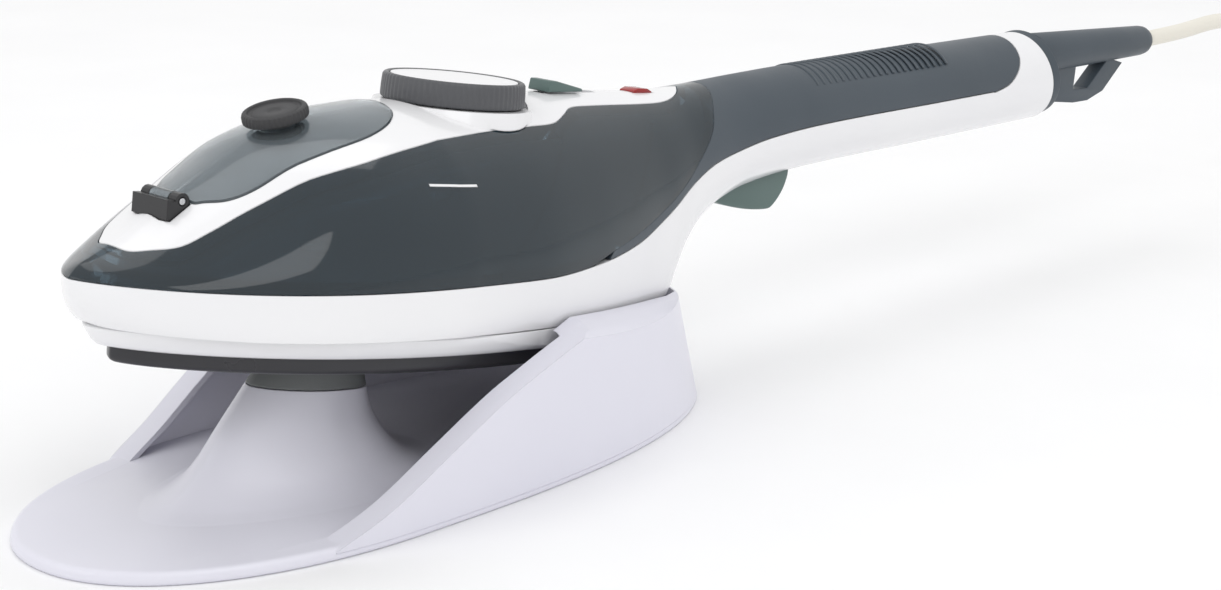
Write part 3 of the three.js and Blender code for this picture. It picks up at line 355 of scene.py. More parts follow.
BLACK = finish("black_part", (0.014, 0.014, 0.016), (0.02, 0.02, 0.022), (0.25, 0.4), (1200, 0.15))
GREEN = finish("grey_green", (0.1, 0.155, 0.145), (0.085, 0.135, 0.125), (0.3, 0.42), (1400, 0.2), 0.0005)
PAD = finish("heatproof_pad", (0.19, 0.2, 0.2), (0.15, 0.16, 0.16), (0.6, 0.75), (1800, 0.5))
RUBBER = finish("dark_rubber", (0.035, 0.035, 0.038), (0.05, 0.05, 0.052), (0.5, 0.65), (1800, 0.3))
COATING = finish("sole_coating", (0.03, 0.03, 0.034), (0.045, 0.045, 0.05), (0.25, 0.35), (2500, 0.25),
                 metal=0.3)
CASTING = finish("cast_metal", (0.5, 0.51, 0.53), (0.42, 0.43, 0.45), (0.45, 0.6), (900, 0.5), metal=1.0)
STEEL = finish("drawn_steel", (0.6, 0.61, 0.63), (0.52, 0.53, 0.55), (0.22, 0.35), (1500, 0.15), metal=1.0)
BRASS = finish("plug_brass", (0.75, 0.58, 0.27), (0.66, 0.5, 0.22), (0.2, 0.32), (1500, 0.12), metal=1.0)
RED = finish("red_lens", (0.5, 0.02, 0.02), (0.4, 0.015, 0.015), (0.05, 0.1), (400, 0.02), clear=0.4)
SILICONE = finish("silicone", (0.7, 0.72, 0.7), (0.64, 0.66, 0.64), (0.35, 0.5), (900, 0.1))
BROWN = finish("phenolic", (0.05, 0.032, 0.026), (0.04, 0.026, 0.02), (0.4, 0.55), (1400, 0.3))
VINYL = finish("cord_vinyl", (0.82, 0.79, 0.71), (0.77, 0.74, 0.66), (0.4, 0.55), (1400, 0.15))
print("finishes:", len(bpy.data.materials))

# %% [markdown]
# ## The cord
# A supply cord has one fixed length. It leaves its guard nearly level, droops to the table, and what
# isn't needed lies in a coil. The coil is one strand winding through eight places round a ring's
# section, an eighth of the way round at each turn, so that every turn lies beside its neighbours.

# %% Cord route
CORD_RADIUS = 2.9
COIL = {"x": 572, "y": -38.7, "turn": 34.8, "spread": 7.8, "lift": 12, "turns": 7, "start": -60, "places": 8}
TAIL = {"to": COIL["x"] + 49, "y": 3.6, "z": 7.5}


def coil_line():
    """The strand's path round the coil, clockwise from the side where the cord comes in."""
    points = []
    steps = int(COIL["turns"] * 24)
    for k in range(steps + 1):
        turn = k / 24
        around = math.radians(90 - 360 * turn)
        section = math.radians(COIL["start"] - 360 / COIL["places"] * turn)
        radius = COIL["turn"] + COIL["spread"] * math.cos(section)
        height = COIL["lift"] + COIL["spread"] * math.sin(section)
        points.append((COIL["x"] + radius * math.cos(around), COIL["y"] + radius * math.sin(around), height))
    return points


def cord_line(exit_point):
    """The whole route, from the guard's tip to the plug."""
    drop = [exit_point, (400, 0, 70.2), (424, 0, 71), (442, 0, 68.5), (458, 0, 60), (470, 0, 46),
            (478, 0, 30)]
    floor = [(486, 0, 15), (496, 0, 6), (506, 0, 3.2), (518, 0, 3), (COIL["x"] - 24, 0, 3.2)]
    sinking = ((39, 2.2), (27, 1.4), (14, 0.4), (0, 0))
    tail = [(TAIL["to"] - back, TAIL["y"], TAIL["z"] + rise) for back, rise in sinking]
    return smooth_line([*drop, *floor], 4) + coil_line() + smooth_line(tail, 3)


# %% Sweep a tube
def sweep(name, line, radius, sides=16):
    """A round tube along a line, closed at both ends."""
    path = [Vector(p) for p in line]
    rings = []
    side = Vector((0, 1, 0))
    for k, here in enumerate(path):
        ahead = (path[min(k + 1, len(path) - 1)] - path[max(k - 1, 0)]).normalized()
        side = (side - ahead * side.dot(ahead)).normalized()
        up = ahead.cross(side)
        ring = [math.tau * j / sides for j in range(sides)]
        rings.append([here + radius * (math.cos(a) * side + math.sin(a) * up) for a in ring])
    return face_out(skin_over(name, rings))


guard_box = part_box("cord_run")
cord_start = (guard_box[0].x / MM, 0, 70.15)
route = cord_line(cord_start)
cord = sweep("supply_cord", route, CORD_RADIUS)
cord.data.transform(STAND_TO_ROW)
cord.data.materials.append(VINYL)
cord.data.shade_smooth()
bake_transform(cord)
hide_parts("cord_run", "cord_coil", "cord_tail")

# %% [markdown]
# ## The housing's outer form
# All the moulded shells of the iron share one flowing outer form. It is drawn as cross-sections along
# the iron: each has a half width, a seam height where the dark and white shells meet, a crown and a
# keel, and its two halves are rounded like a squashed circle whose squareness changes along the body.

# %% Body form
BODY = {"nose": -13.4, "widest": 76.2, "half": 45.3, "crown": 66, "wall": 2.2}
HANDLE = {"start": 246, "end": 370.8, "rise": 0.1185, "axis": 60.2, "radius": 16.3, "end_radius": 15.2}
END_LEAN = math.radians(18.8)


def axis_at(u):
    return HANDLE["axis"] + HANDLE["rise"] * (u - HANDLE["start"])


def handle_row(u, radius):
    return (u, radius - 0.5, axis_at(u), axis_at(u) + radius, axis_at(u) - radius, 2)


W, H = BODY["half"], BODY["crown"]
# Behind the widest point: u, half width, seam, crown, keel, squareness of the lower half.
REAR_ROWS = [
    (76.2, W, 23.4, H - 1.7, 3, 5),
    (105, 0.956 * W, 23.9, H, 3, 5),
    (130, 0.85 * W, 26, H + 1.2, 3, 5),
    (150, 0.728 * W, 29.6, H + 1.8, 3, 5),
    (165, 0.62 * W, 35, H + 2, 3, 5),
    (174, 0.56 * W, 39.4, H + 2, 5, 5),
    (180, 0.515 * W, 42.8, H + 2.1, 15, 4.5),
    (185, 0.48 * W, 45.2, H + 2.4, 22, 4),
    (194, 0.435 * W, 49.2, H + 3.4, 28.5, 3),
    (206, 0.395 * W, 52.6, H + 5, 34, 2.4),
    (222, HANDLE["radius"] + 0.4, 56.4, H + 7.3, 39.2, 2.1),
    handle_row(HANDLE["start"], HANDLE["radius"]),
    handle_row(310, (HANDLE["radius"] + HANDLE["end_radius"]) / 2),
    handle_row(HANDLE["end"] + 12, HANDLE["end_radius"]),
]
# The nose: u, crown, keel, squareness of the upper half.
NOSE_ROWS = [
    (-13.4, 22, 21, 1.25),
    (-11, 24.6, 15, 1.28),
    (-6, 27.4, 9.5, 1.32),
    (2, 32, 6, 1.4),
    (12, 39.2, 4, 1.47),
    (25, 47.6, 3, 1.6),
    (40, H - 9.6, 3, 1.78),
    (58, H - 4.2, 3, 1.9),
    (76.2, H - 1.7, 3, 1.96),
]


def read_row(rows, column, x):
    """Smooth reading between rows that never overshoots them."""
    if x <= rows[0][0]:
        return rows[0][column]
    if x >= rows[-1][0]:
        return rows[-1][column]
    slopes = [(b[column] - a[column]) / (b[0] - a[0]) for a, b in zip(rows, rows[1:])]
    tangents = [slopes[0]]
    for a, b in zip(slopes, slopes[1:]):
        tangents.append(0 if a * b <= 0 else 2 * a * b / (a + b))
    tangents.append(slopes[-1])
    i = max(k for k in range(len(rows) - 1) if rows[k][0] <= x)
    span = rows[i + 1][0] - rows[i][0]
    t = (x - rows[i][0]) / span
    p, q = rows[i][column], rows[i + 1][column]
    m, n = tangents[i] * span, tangents[i + 1] * span
    start = (p * (1 + 2 * t) + m * t) * (1 - t) ** 2
    return start + (q * (3 - 2 * t) + n * (t - 1)) * t * t


def half_at(u, inset=0.0):
    if u >= BODY["widest"]:
        return read_row(REAR_ROWS, 1, u) - inset
    nose = BODY["nose"] + 1.4 * inset
    t = min(1.0, (BODY["widest"] - u) / (BODY["widest"] - nose))
    return (W - inset) * (1 - t**2.437) ** (1 / 1.4)


def seam_at(u):
    return 21.5 + 0.0212 * (u - BODY["nose"]) if u < BODY["widest"] else read_row(REAR_ROWS, 2, u)


def crown_at(u):
    return read_row(NOSE_ROWS, 1, u) if u < BODY["widest"] else read_row(REAR_ROWS, 3, u)


def keel_at(u):
    return read_row(NOSE_ROWS, 2, u) if u < BODY["widest"] else read_row(REAR_ROWS, 4, u)


def powers_at(u):
    if u < BODY["widest"]:
        return read_row(NOSE_ROWS, 3, u), min(5, 2 + (u - BODY["nose"]) / 12)
    return 2, read_row(REAR_ROWS, 5, u)


def body_ring(u, inset, around):
    seam = seam_at(u)
    lean = math.hypot(1, (crown_at(u + 1) - crown_at(u - 1)) / 2)
    rake = min(3, math.hypot(1, (keel_at(u + 1) - keel_at(u - 1)) / 2))
    up = max(0.2, crown_at(u) - inset * lean - seam)
    down = max(0.2, seam - keel_at(u) - inset * rake)
    upper, lower = powers_at(u)
    half = max(half_at(u, inset), 0.02)
    ring = []
    for k in range(around):
        c, s = math.cos(math.tau * k / around), math.sin(math.tau * k / around)
        power = upper if s >= 0 else lower
        v = math.copysign(abs(c) ** (2 / power), c)
        w = math.copysign(abs(s) ** (2 / power), s)
        ring.append((u, half * v, seam + (up if s >= 0 else down) * w))
    return ring


def body_skin(inset, around=112, nose_steps=40, spacing=2.6):
    """The body's form as a closed skin, moved inwards by inset millimetres."""
    nose = BODY["nose"] + 1.4 * inset
    stations = []
    for k in range(nose_steps + 1):
        share = 0.0006 + 0.9994 * (1 - math.cos(k / nose_steps * math.pi / 2))
        stations.append(nose + (BODY["widest"] - nose) * share)
    end = HANDLE["end"] + 12
    steps = int((end - BODY["widest"]) / spacing)
    stations += [BODY["widest"] + (end - BODY["widest"]) * k / steps for k in range(1, steps + 1)]
    return face_out(skin_over("body_skin", [body_ring(u, inset, around) for u in stations]))


SKIN = body_skin(0)
INNER = body_skin(BODY["wall"], 48, 20, 6)
print("outer form:", len(SKIN.data.polygons), "faces")

# %% [markdown]
# ## Parting lines
# The shells are cut from that one form along the lines where the real mouldings meet, each line a
# flat outline pushed straight through. A gap of 0.3 mm between neighbours reads as a fine joint.

# %% Parting lines
GAP = 0.15
COVER = {"front": -2.4, "half": 26, "rear": 195, "skin": 4.4, "recess": 2.6}
LID_PLAN = {"front": 15.8, "rear": 78.5, "half": 19.4, "skin": 1.7}
COVER_EDGE = [
    (0, 0.0), (1.2, 0.22), (4.6, 0.38), (10, 0.58), (17, 0.67), (26, 0.75), (38, 0.87), (50, 0.97), (60, 1),
    (78, 0.95), (100, 0.86), (118, 0.8), (128, 0.75), (135, 0.62), (141, 0.49), (150, 0.45), (172, 0.39),
    (184, 0.33), (192, 0.2), (197.4, 0.0),
]
LID_EDGE = [
    (0, 0.0), (0, 0.36), (2, 0.5), (6, 0.71), (12, 0.84), (20, 0.91), (30, 0.98), (41, 1), (49, 0.92),
    (56, 0.74), (61, 0.45), (63.5, 0.0),
]
GRIP_END = [(337, -0.2), (345, 1.6), (351, 6), (354, 12), (355, 24)]
TANK_REAR = [
    (207, 74), (203, 69.6), (198, 64.6), (193, 57.6), (186, 50.9), (178, 44.8), (166, 38.4), (150, 32.6),
    (136, 28.9),
]


def mirrored(half):
    return [*half, *[(u, -v) for u, v in reversed(half[1:-1])]]


def plan_outline(edge, plan, extra):
    """A symmetric outline seen from above, fitted to a plan's size and grown evenly by extra."""
    front, half = plan["front"], plan["half"]
    fit = plan["rear"] - front
    line = [(front + along * fit / edge[-1][0], -half * share) for along, share in smooth_line(edge, 6)]
    grown = []
    for k, (u, v) in enumerate(line):
        before, after = line[max(k - 1, 0)], line[min(k + 1, len(line) - 1)]
        run, rise = after[0] - before[0], after[1] - before[1]
        length = math.hypot(run, rise) or 1
        grown.append((u + extra * rise / length, min(v - extra * run / length, 0)))
    grown[0], grown[-1] = (line[0][0] - extra, 0), (line[-1][0] + extra, 0)
    return mirrored(grown)


def cover_outline(extra=0.0):
    return plan_outline(COVER_EDGE, COVER, extra)


def lid_outline(extra=0.0):
    return plan_outline(LID_EDGE, LID_PLAN, extra)


def seam_points(start, end, rise):
    spots = [start + (end - start) * k / 90 for k in range(91)]
    return [(u, seam_at(u) + rise) for u in spots]


def above_seam(rise, move):
    end = [(u + move, seam_at(u) + above + rise) for u, above in smooth_line(GRIP_END)]
    nose = BODY["nose"] - 5
    return side_prism([*seam_points(nose, 336, rise), *end, (355 + move, 120), (nose, 120)], 70)


def tank_side(move, rise):
    rear = [(u + move, w + 0.2 * move) for u, w in smooth_line(TANK_REAR)][::-1]
    nose = BODY["nose"] - 5
    return side_prism([*seam_points(nose, 126, rise), *rear, (207 + move, 120), (nose, 120)], 70)


def end_slab(move):
    """All that lies behind the handle's leaning end face."""
    slab = block(move, 60, -60, 60, -60, 60)
    slab.data.transform(Matrix.Rotation(-END_LEAN, 4, "Y"))
    slab.data.transform(Matrix.Translation((HANDLE["end"], 0, axis_at(HANDLE["end"]))))
    return slab


def on_crown(piece, u):
    """Stands a piece drawn at the origin on the crown, square to its slope."""
    slope = (crown_at(u + 1) - crown_at(u - 1)) / 2
    piece.data.transform(Matrix.Rotation(-math.atan(slope), 4, "Y"))
    piece.data.transform(Matrix.Translation((u, 0, crown_at(u))))
    return piece


def upright_rod(u, v, low, high, radius, top=None, steps=72):
    rod = turned("rod", [(radius, low), (top or radius, high)], steps)
    rod.data.transform(Matrix.Translation((u, v, 0)))
    return rod


# %% [markdown]
# ## White lower housing
# The lower housing runs from the nose under the tank and on as the handle's underside. It is the
# form's shell below the seam, with a collar that closes round behind the grip.

# %% Lower housing
TRIGGER = {"u": 214, "w": 43.5, "reach": 31, "half": 5.5}
DIAL = {"u": 105.8, "radius": 19.6, "bottom": 64.5, "top": 71.4, "seat": 20.6}
PLUG_U = 46.1

lower = minus(twin(SKIN), twin(INNER), above_seam(-GAP, GAP))
minus(lower, block(-40, 190, -80, 80, -20, 10.3), end_slab(0))
slot_top = seam_at(TRIGGER["u"]) - 6
minus(lower, block(TRIGGER["u"] - 6, TRIGGER["u"] + TRIGGER["reach"] + 3, -6.3, 6.3, 20, slot_top))
for screw_u in (268, 322):
    minus(lower, upright_rod(screw_u, 0, keel_at(screw_u) - 5, keel_at(screw_u) + 3, 3.2, steps=32))
finish_piece(lower, "lower_housing", "iron", ["lower_shell"], WHITE)

# %% [markdown]
# ## Smoky water tank
# The tank wraps round the sides under the cover. It has a real wall thickness, because light that
# enters a clear wall and leaves it again is what makes a tank look hollow rather than painted. Two
# slanting ribs stiffen each side inside.


# %% Water tank
def under_cover(extra, depth):
    """All that lies above a depth under the skin, within the cover's outline grown by extra."""
    return minus(plan_prism(cover_outline(extra), 0, 100), body_skin(depth, 48, 20, 6))


def tank_rib(front, rear):
    """A thin slanting rib across the tank, from a low front point to a high rear point."""
    (u0, w0), (u1, w1) = front, rear
    return side_prism([(u0, w0), (u0 + 1.4, w0), (u1 + 1.4, w1), (u1, w1)], 60)


def water_tank():
    block_form = minus(within(twin(SKIN), tank_side(-GAP, GAP)), under_cover(0.3, COVER["skin"] + 0.6))
    cavity = minus(within(twin(INNER), tank_side(-2.4, 2.6)), under_cover(2.6, COVER["skin"] + 2.4))
    for rib in (((86, 24), (128, 60)), ((132, 24), (168, 60))):
        minus(cavity, tank_rib(*rib))
    tank = minus(block_form, cavity, upright_rod(DIAL["u"], 0, 10, 90, 4.2))
    return minus(tank, on_crown(upright_rod(0, 0, -20, 20, 9.2), PLUG_U))


finish_piece(water_tank(), "water_tank_wall", "iron", ["water_tank"], SMOKE)

# %% [markdown]
# ## Top cover
# The white cover is a hood over the tank's top, with a shallow recess for the lid, a raised seat for
# the dial, the filler hole, a track for the steam slider and a window for the lamp.


# %% Top cover
def top_cover():
    cover_inner = body_skin(COVER["skin"], 48, 20, 6)
    cover = within(minus(twin(SKIN), twin(cover_inner)), plan_prism(cover_outline(), 0, 120))
    minus(cover, block(-40, 420, -90, 90, -10, 26.5), block(150, 420, -90, 90, -10, 56))
    recess = minus(body_skin(-3, 64, 24, 5), body_skin(COVER["recess"], 112))
    minus(cover, within(recess, plan_prism(lid_outline(0.4), 0, 110)))
    seat_top = DIAL["bottom"] - 0.3
    seat = upright_rod(DIAL["u"], 0, H - 8, seat_top, 24, DIAL["seat"] + 0.8)
    plus(cover, minus(twin(seat), body_skin(-0.3)))
    plus(cover, within(minus(seat, cover_inner), plan_prism(cover_outline(), 0, 120)))
    minus(cover, upright_rod(DIAL["u"], 0, seat_top, 90, DIAL["seat"]))
    minus(cover, upright_rod(DIAL["u"], 0, 20, 90, 4.2))
    minus(cover, on_crown(upright_rod(0, 0, -20, 20, 6.6), PLUG_U))
    minus(cover, block(8.3, 15.4, -7.5, 7.5, 35.7, 60))
    minus(cover, block(137, 158.5, -2.6, 2.6, crown_at(138) - 12, crown_at(138) + 8))
    return minus(cover, block(173.7, 182.3, -3.1, 3.1, 50, 90))


finish_piece(top_cover(), "white_top_cover", "iron", ["top_cover"], WHITE)

# %% [markdown]
# ## Grip cover
# The dark grip is the upper half of the handle, from the tank's rear edge back to the white collar.

# %% Grip cover
grip = minus(within(minus(twin(SKIN), twin(INNER)), above_seam(GAP, -GAP)), tank_side(GAP, -9))
minus(grip, plan_prism(cover_outline(0.3), 0, 120))
finish_piece(grip, "grip_shell", "iron", ["grip_cover"], SLATE)

# %% [markdown]
# ## Filler lid
# The lid is a thin clear shell that follows the cover's form, hinged at its narrow front end.


# %% Filler lid
HINGE = {"u": 13, "w": 40.6, "radius": 2.1, "half": 3.7}


def filler_lid():
    lid = minus(body_skin(-0.3, 112), body_skin(LID_PLAN["skin"], 112))
    within(lid, plan_prism(lid_outline(), 26, 110))
    u, w, radius, half = HINGE["u"], HINGE["w"], HINGE["radius"], HINGE["half"]
    turn = [math.tau * k / 24 for k in range(24)]
    knuckle = side_prism([(u + radius * math.cos(a), w + radius * math.sin(a)) for a in turn], half)
    plus(lid, knuckle, block(u, u + 4.2, -half, half, w - 0.6, w + 1.4))
    return minus(lid, on_crown(upright_rod(0, 0, -20, 20, 4.9), PLUG_U))


finish_piece(filler_lid(), "clear_lid", "lid", ["fill_lid"], LID)

# %% [markdown]
# ## Soleplate and heat shield
# The soleplate's outline is a pointed arch. The white heat shield above it follows the same arch a
# little further out, and never past the housing.

# %% Sole and shield
SOLE = {"length": 170.4, "half": 39, "widest": 97.8, "plate": 4.2}
STEAM_HOLES = [(40, 8), (56, 13.5), (74, 18.5), (94, 21.5), (114, 21.5)]


def sole_outline(inset):
    nose, rear, widest = 1.5 * inset, SOLE["length"] - inset, SOLE["widest"]
    half = [(nose, 0)]
    for k in range(40):
        t = 1 - (0.0008 + 0.9992 * (1 - math.cos(k / 40 * math.pi / 2)))
        half.append((widest - t * (widest - nose), -(SOLE["half"] - inset) * (1 - t**2.217) ** (1 / 1.4)))
    for k in range(40):
        t = 0.9995 * math.sin(k / 39 * math.pi / 2)
        taper = (1 - 0.35 * t**2) * (1 - t**14) ** 0.4
        half.append((widest + t * (rear - widest), -(SOLE["half"] - inset) * taper))
    half.append((rear, 0))
    return mirrored(half)


def body_outline(extra, rear=181):
    nose = BODY["nose"] - 1.4 * extra
    half = [(nose, 0)]
    for k in range(40):
        u = nose + (BODY["widest"] - nose) * (0.0006 + 0.9994 * (1 - math.cos(k / 39 * math.pi / 2)))
        half.append((u, -half_at(u, -extra)))
    half += [(u, -half_at(u, -extra)) for u in range(80, 175, 5)]
    corner = -half_at(rear, -extra)
    half += [(rear + 0.6 * extra - 3, corner + 1), (rear + extra, corner + 6)]
    return mirrored([*half, (rear + extra, 0)])


def stacked(name, levels):
    return face_out(skin_over(name, [[(a, b, h) for a, b in outline] for h, outline in levels]))


def soleplate():
    rim = [(0, 1.6), (0.15, 1.0), (0.6, 0.35), (1.2, 0.05), (1.8, 0), (SOLE["plate"], 0)]
    plate = stacked("soleplate", [(w, sole_outline(inset)) for w, inset in rim])
    for u, v in STEAM_HOLES:
        minus(plate, upright_rod(u, v, -1, 6, 1.5, steps=24), upright_rod(u, -v, -1, 6, 1.5, steps=24))
    return plate


def heat_shield():
    flank = [(4.5, -1.6), (5, -2.6), (6, -3.4), (7.5, -4.2), (9, -4.9), (9.6, -5), (10, -4.5)]
    shield = stacked("shield", [(w, sole_outline(inset)) for w, inset in flank])
    minus(shield, plan_prism(sole_outline(8), 0, 20))
    return within(shield, plan_prism(body_outline(-1), 0, 20))


finish_piece(soleplate(), "sole_face", "iron", ["soleplate"], COATING)
finish_piece(heat_shield(), "white_heat_shield", "iron", ["heat_shield"], WHITE)

# %% [markdown]
# ## Dial and stopper
# Both are turned shapes. A faint flute runs round each so that fingers can grip it: the radius is
# let in and out a little as the profile is swept round.


# %% Turned knobs
def fluted(name, profile, flutes, depth, steps):
    """A turned profile of (radius, height, share of the fluting)."""
    rings = []
    for radius, height, share in profile:
        ring = []
        for k in range(steps):
            a = math.tau * k / steps
            r = max(radius - depth * share * (0.5 - 0.5 * math.cos(flutes * a)), 0.01)
            ring.append((r * math.cos(a), r * math.sin(a), height))
        rings.append(ring)
    return face_out(skin_over(name, rings))


def dial_knob():
    r, tall = DIAL["radius"], DIAL["top"] - DIAL["bottom"]
    profile = [
        (r - 0.7, 0, 0), (r - 0.2, 0.25, 0.5), (r, 0.8, 1), (r - 0.05, tall / 2, 1),
        (r - 0.25, tall - 0.8, 1), (r - 0.6, tall - 0.25, 0.4), (r - 1.1, tall, 0), (r - 1.6, tall - 0.1, 0), (r - 1.9, tall - 0.4, 0),
        (r - 2, tall - 1.4, 0),
    ]
    knob = fluted("knob", profile, 72, 0.22, 432)
    knob.data.transform(Matrix.Translation((DIAL["u"], 0, DIAL["bottom"])))
    return minus(knob, upright_rod(DIAL["u"], 0, DIAL["bottom"] - 1, DIAL["top"] + 2, 3.4))


def lid_stopper():
    profile = [
        (4.4, -9, 0), (5.8, -5, 0), (5.8, -2.9, 0), (4.6, -2.9, 0), (4.6, 1.4, 0), (8.4, 1.4, 0),
        (8.6, 1.7, 1), (8.6, 3.2, 1), (8.3, 3.9, 0.6), (7.6, 4.2, 0), (7.1, 4, 0), (6.9, 3.5, 0),
        (6, 3.35, 0), (5.7, 3.6, 0), (2, 3.6, 0), (1.6, 3.3, 0), (0, 3.3, 0),
    ]
    return on_crown(fluted("stopper", profile, 40, 0.25, 240), PLUG_U)


finish_piece(dial_knob(), "dial_rim", "dial", ["dial_knob"], DIAL_GREY, angle=40)
finish_piece(lid_stopper(), "stopper", "lid", ["lid_plug"], RUBBER, angle=40)

# %% [markdown]
# ## Grip ribs
# A row of fine ribs runs along the top of the grip. They are a repeated thing, so Geometry Nodes sets
# copies of one small rib out along a line.


# %% Set out copies
def row_of(name, piece, start, step, count, material):
    """A Geometry Nodes row of one piece: count copies from start, each a step from the last."""
    group = bpy.data.node_groups.new(name, "GeometryNodeTree")
    for label, kind in (("Geometry", "NodeSocketGeometry"), ("Count", "NodeSocketInt"),
                        ("Start", "NodeSocketVector"), ("Step", "NodeSocketVector")):
        group.interface.new_socket(label, in_out="INPUT", socket_type=kind)
    group.interface.new_socket("Geometry", in_out="OUTPUT", socket_type="NodeSocketGeometry")
    inside, out = group.nodes.new("NodeGroupInput"), group.nodes.new("NodeGroupOutput")
    line = group.nodes.new("GeometryNodeMeshLine")
    copies = group.nodes.new("GeometryNodeInstanceOnPoints")
    solid = group.nodes.new("GeometryNodeRealizeInstances")
    paint = group.nodes.new("GeometryNodeSetMaterial")
    paint.inputs["Material"].default_value = material
    link = group.links.new
    link(inside.outputs["Count"], line.inputs["Count"])
    link(inside.outputs["Start"], line.inputs["Start Location"])
    link(inside.outputs["Step"], line.inputs["Offset"])
    link(line.outputs["Mesh"], copies.inputs["Points"])
    link(inside.outputs["Geometry"], copies.inputs["Instance"])
    link(copies.outputs["Instances"], solid.inputs["Geometry"])
    link(solid.outputs["Geometry"], paint.inputs["Geometry"])
    link(paint.outputs["Geometry"], out.inputs["Geometry"])
    repeat = piece.modifiers.new(name, "NODES")
    repeat.node_group = group
    for label, value in (("Count", count), ("Start", start), ("Step", step)):
        repeat[group.interface.items_tree[label].identifier] = value
    bpy.context.view_layer.update()
    result = bpy.data.meshes.new_from_object(piece.evaluated_get(bpy.context.evaluated_depsgraph_get()))
    piece.modifiers.clear()
    piece.data = result
    return piece


def grip_rib():
    """One low rib across the grip's top, bent to the grip's own roundness."""
    r = HANDLE["radius"]
    rings = []
    for k in range(25):
        a = math.radians(-46 + 92 * k / 24)
        fade = math.cos(a * 90 / 46) ** 0.4 if k not in (0, 24) else 0.0
        ring = [(-0.75, -0.15), (-0.5, 0.2 * fade), (0, 0.42 * fade), (0.5, 0.2 * fade), (0.75, -0.15)]
        rings.append([(u, (r - 0.5) * math.sin(a) * (1 + h / r), (r + h) * math.cos(a)) for u, h in ring])
    return face_out(skin_over("rib", rings))


RIBS = {"first": 248, "count": 22, "step": 3.1}
ribs = row_of("grip_ribs", grip_rib(), (RIBS["first"], 0, axis_at(RIBS["first"])),
              (RIBS["step"], 0, RIBS["step"] * HANDLE["rise"]), RIBS["count"], SLATE)
finish_piece(ribs, "grip_ribs", "iron", [], SLATE)

# %% [markdown]
# ## Fill mark
# A fine plain line is printed on each side of the tank, at the height of the highest water level.

# %% Fill mark
MARK = {"from": (68, 47.7), "to": (83.2, 47.5), "width": 0.6, "print": 0.06, "root": -0.1}


def side_at(u, w):
    """The form's half width at a height above the seam."""
    power = powers_at(u)[0]
    share = (w - seam_at(u)) / (crown_at(u) - seam_at(u))
    return half_at(u) * (1 - share**power) ** (1 / power)


def fill_mark(side):
    """A thin strip that follows the tank's skin."""
    rings = []
    for k in range(13):
        u, w = (a + (b - a) * k / 12 for a, b in zip(MARK["from"], MARK["to"]))
        corners = [(w, "root"), (w, "print"), (w + MARK["width"], "print"), (w + MARK["width"], "root")]
        rings.append([(u, side * (side_at(u, height) + MARK[depth]), height) for height, depth in corners])
    return face_out(skin_over("mark", rings))


finish_piece(fill_mark(-1), "fill_mark_near", "iron", [], PRINT)
finish_piece(fill_mark(1), "fill_mark_far", "iron", [], PRINT)

# %% [markdown]
# ## Edged pieces
# The trigger, the hanging loop and the slider are thick plates with soft edges. A Bevel modifier on
# the plain plate rounds every edge by the same amount, which is how a mould's radius looks.


# %% Rounded plates
def rounded(piece, width, segments=4, angle=28):
    """Rounds a piece's edges by a width in its own millimetres."""
    soft = piece.modifiers.new("soft", "BEVEL")
    soft.width = width
    soft.segments = segments
    soft.limit_method = "ANGLE"
    soft.angle_limit = math.radians(angle)
    bpy.context.view_layer.update()
    result = bpy.data.meshes.new_from_object(piece.evaluated_get(bpy.context.evaluated_depsgraph_get()))
    piece.modifiers.clear()
    piece.data = result
    return piece


def trigger():
    u, w, reach, keel = TRIGGER["u"], TRIGGER["w"], TRIGGER["reach"], keel_at(TRIGGER["u"])
    outline = [
        (u - 4, w - 3), (u - 2, keel - 1.2), (u + 10, keel - 3.8), (u + 22, keel - 4.4),
        (u + reach - 5, keel - 3), (u + reach - 1, keel + 2), (u + reach + 0.5, keel + 7.5),
        (u + reach - 2, w + 3), (u + 14, w + 1), (u + 3, w + 3.4), (u - 3, w + 2.4),
    ]
    return rounded(side_prism(smooth_line([*outline, outline[0]], 4)[:-1], TRIGGER["half"]), 1.1)


def steam_slider():
    u, length = 138, 13.5
    rise = [crown_at(u + a) + 0.3 for a in (0, length)]
    low = [(u, rise[0]), (u + length, rise[1])]
    outline = [*low, (u + length, rise[1] + 0.8), (u + 3, rise[0] + 3.2), (u + 0.6, rise[0] + 3.2)]
    return rounded(side_prism(outline, 4.2), 0.35, 3)


def lens():
    u, top = 174, crown_at(178)
    low = [(u, top - 1.6), (u + 8, top - 1.6)]
    outline = [*low, (u + 8, top + 0.2), (u + 6, top + 1), (u + 2, top + 1), (u, top + 0.2)]
    return rounded(side_prism(outline, 2.8), 0.3, 3)


finish_piece(trigger(), "pump_trigger", "trigger", ["trigger"], GREEN, angle=40)
finish_piece(steam_slider(), "slider_button", "slider", ["steam_slider"], GREEN, angle=40)
finish_piece(lens(), "lamp_lens", "iron", ["indicator_lens"], RED, angle=40)

# %% [markdown]
# ## Handle end, cord guard and hanging loop
# The end cap is a turned disc that leans with the handle's end. The guard is a long turned sleeve on
# its own slightly rising line, rounded at its tip, and the loop is a rounded plate under it.

# %% Handle end
GUARD = {"length": 80, "radius": 7.3, "tip": 5, "raise": 7, "bore": 3.3, "neck": 4.6, "slope": 0.0934}


def lean_point(along, up):
    c, s = math.cos(END_LEAN), math.sin(END_LEAN)
    return HANDLE["end"] + along * c - up * s, axis_at(HANDLE["end"]) + along * s + up * c


def along_guard(piece):
    """Lays a piece turned about the upright axis along the guard's own line."""
    u, w = lean_point(0, GUARD["raise"])
    piece.data.transform(Matrix.Rotation(math.radians(90) - math.atan(GUARD["slope"]), 4, "Y"))
    piece.data.transform(Matrix.Translation((u, 0, w)))
    return piece


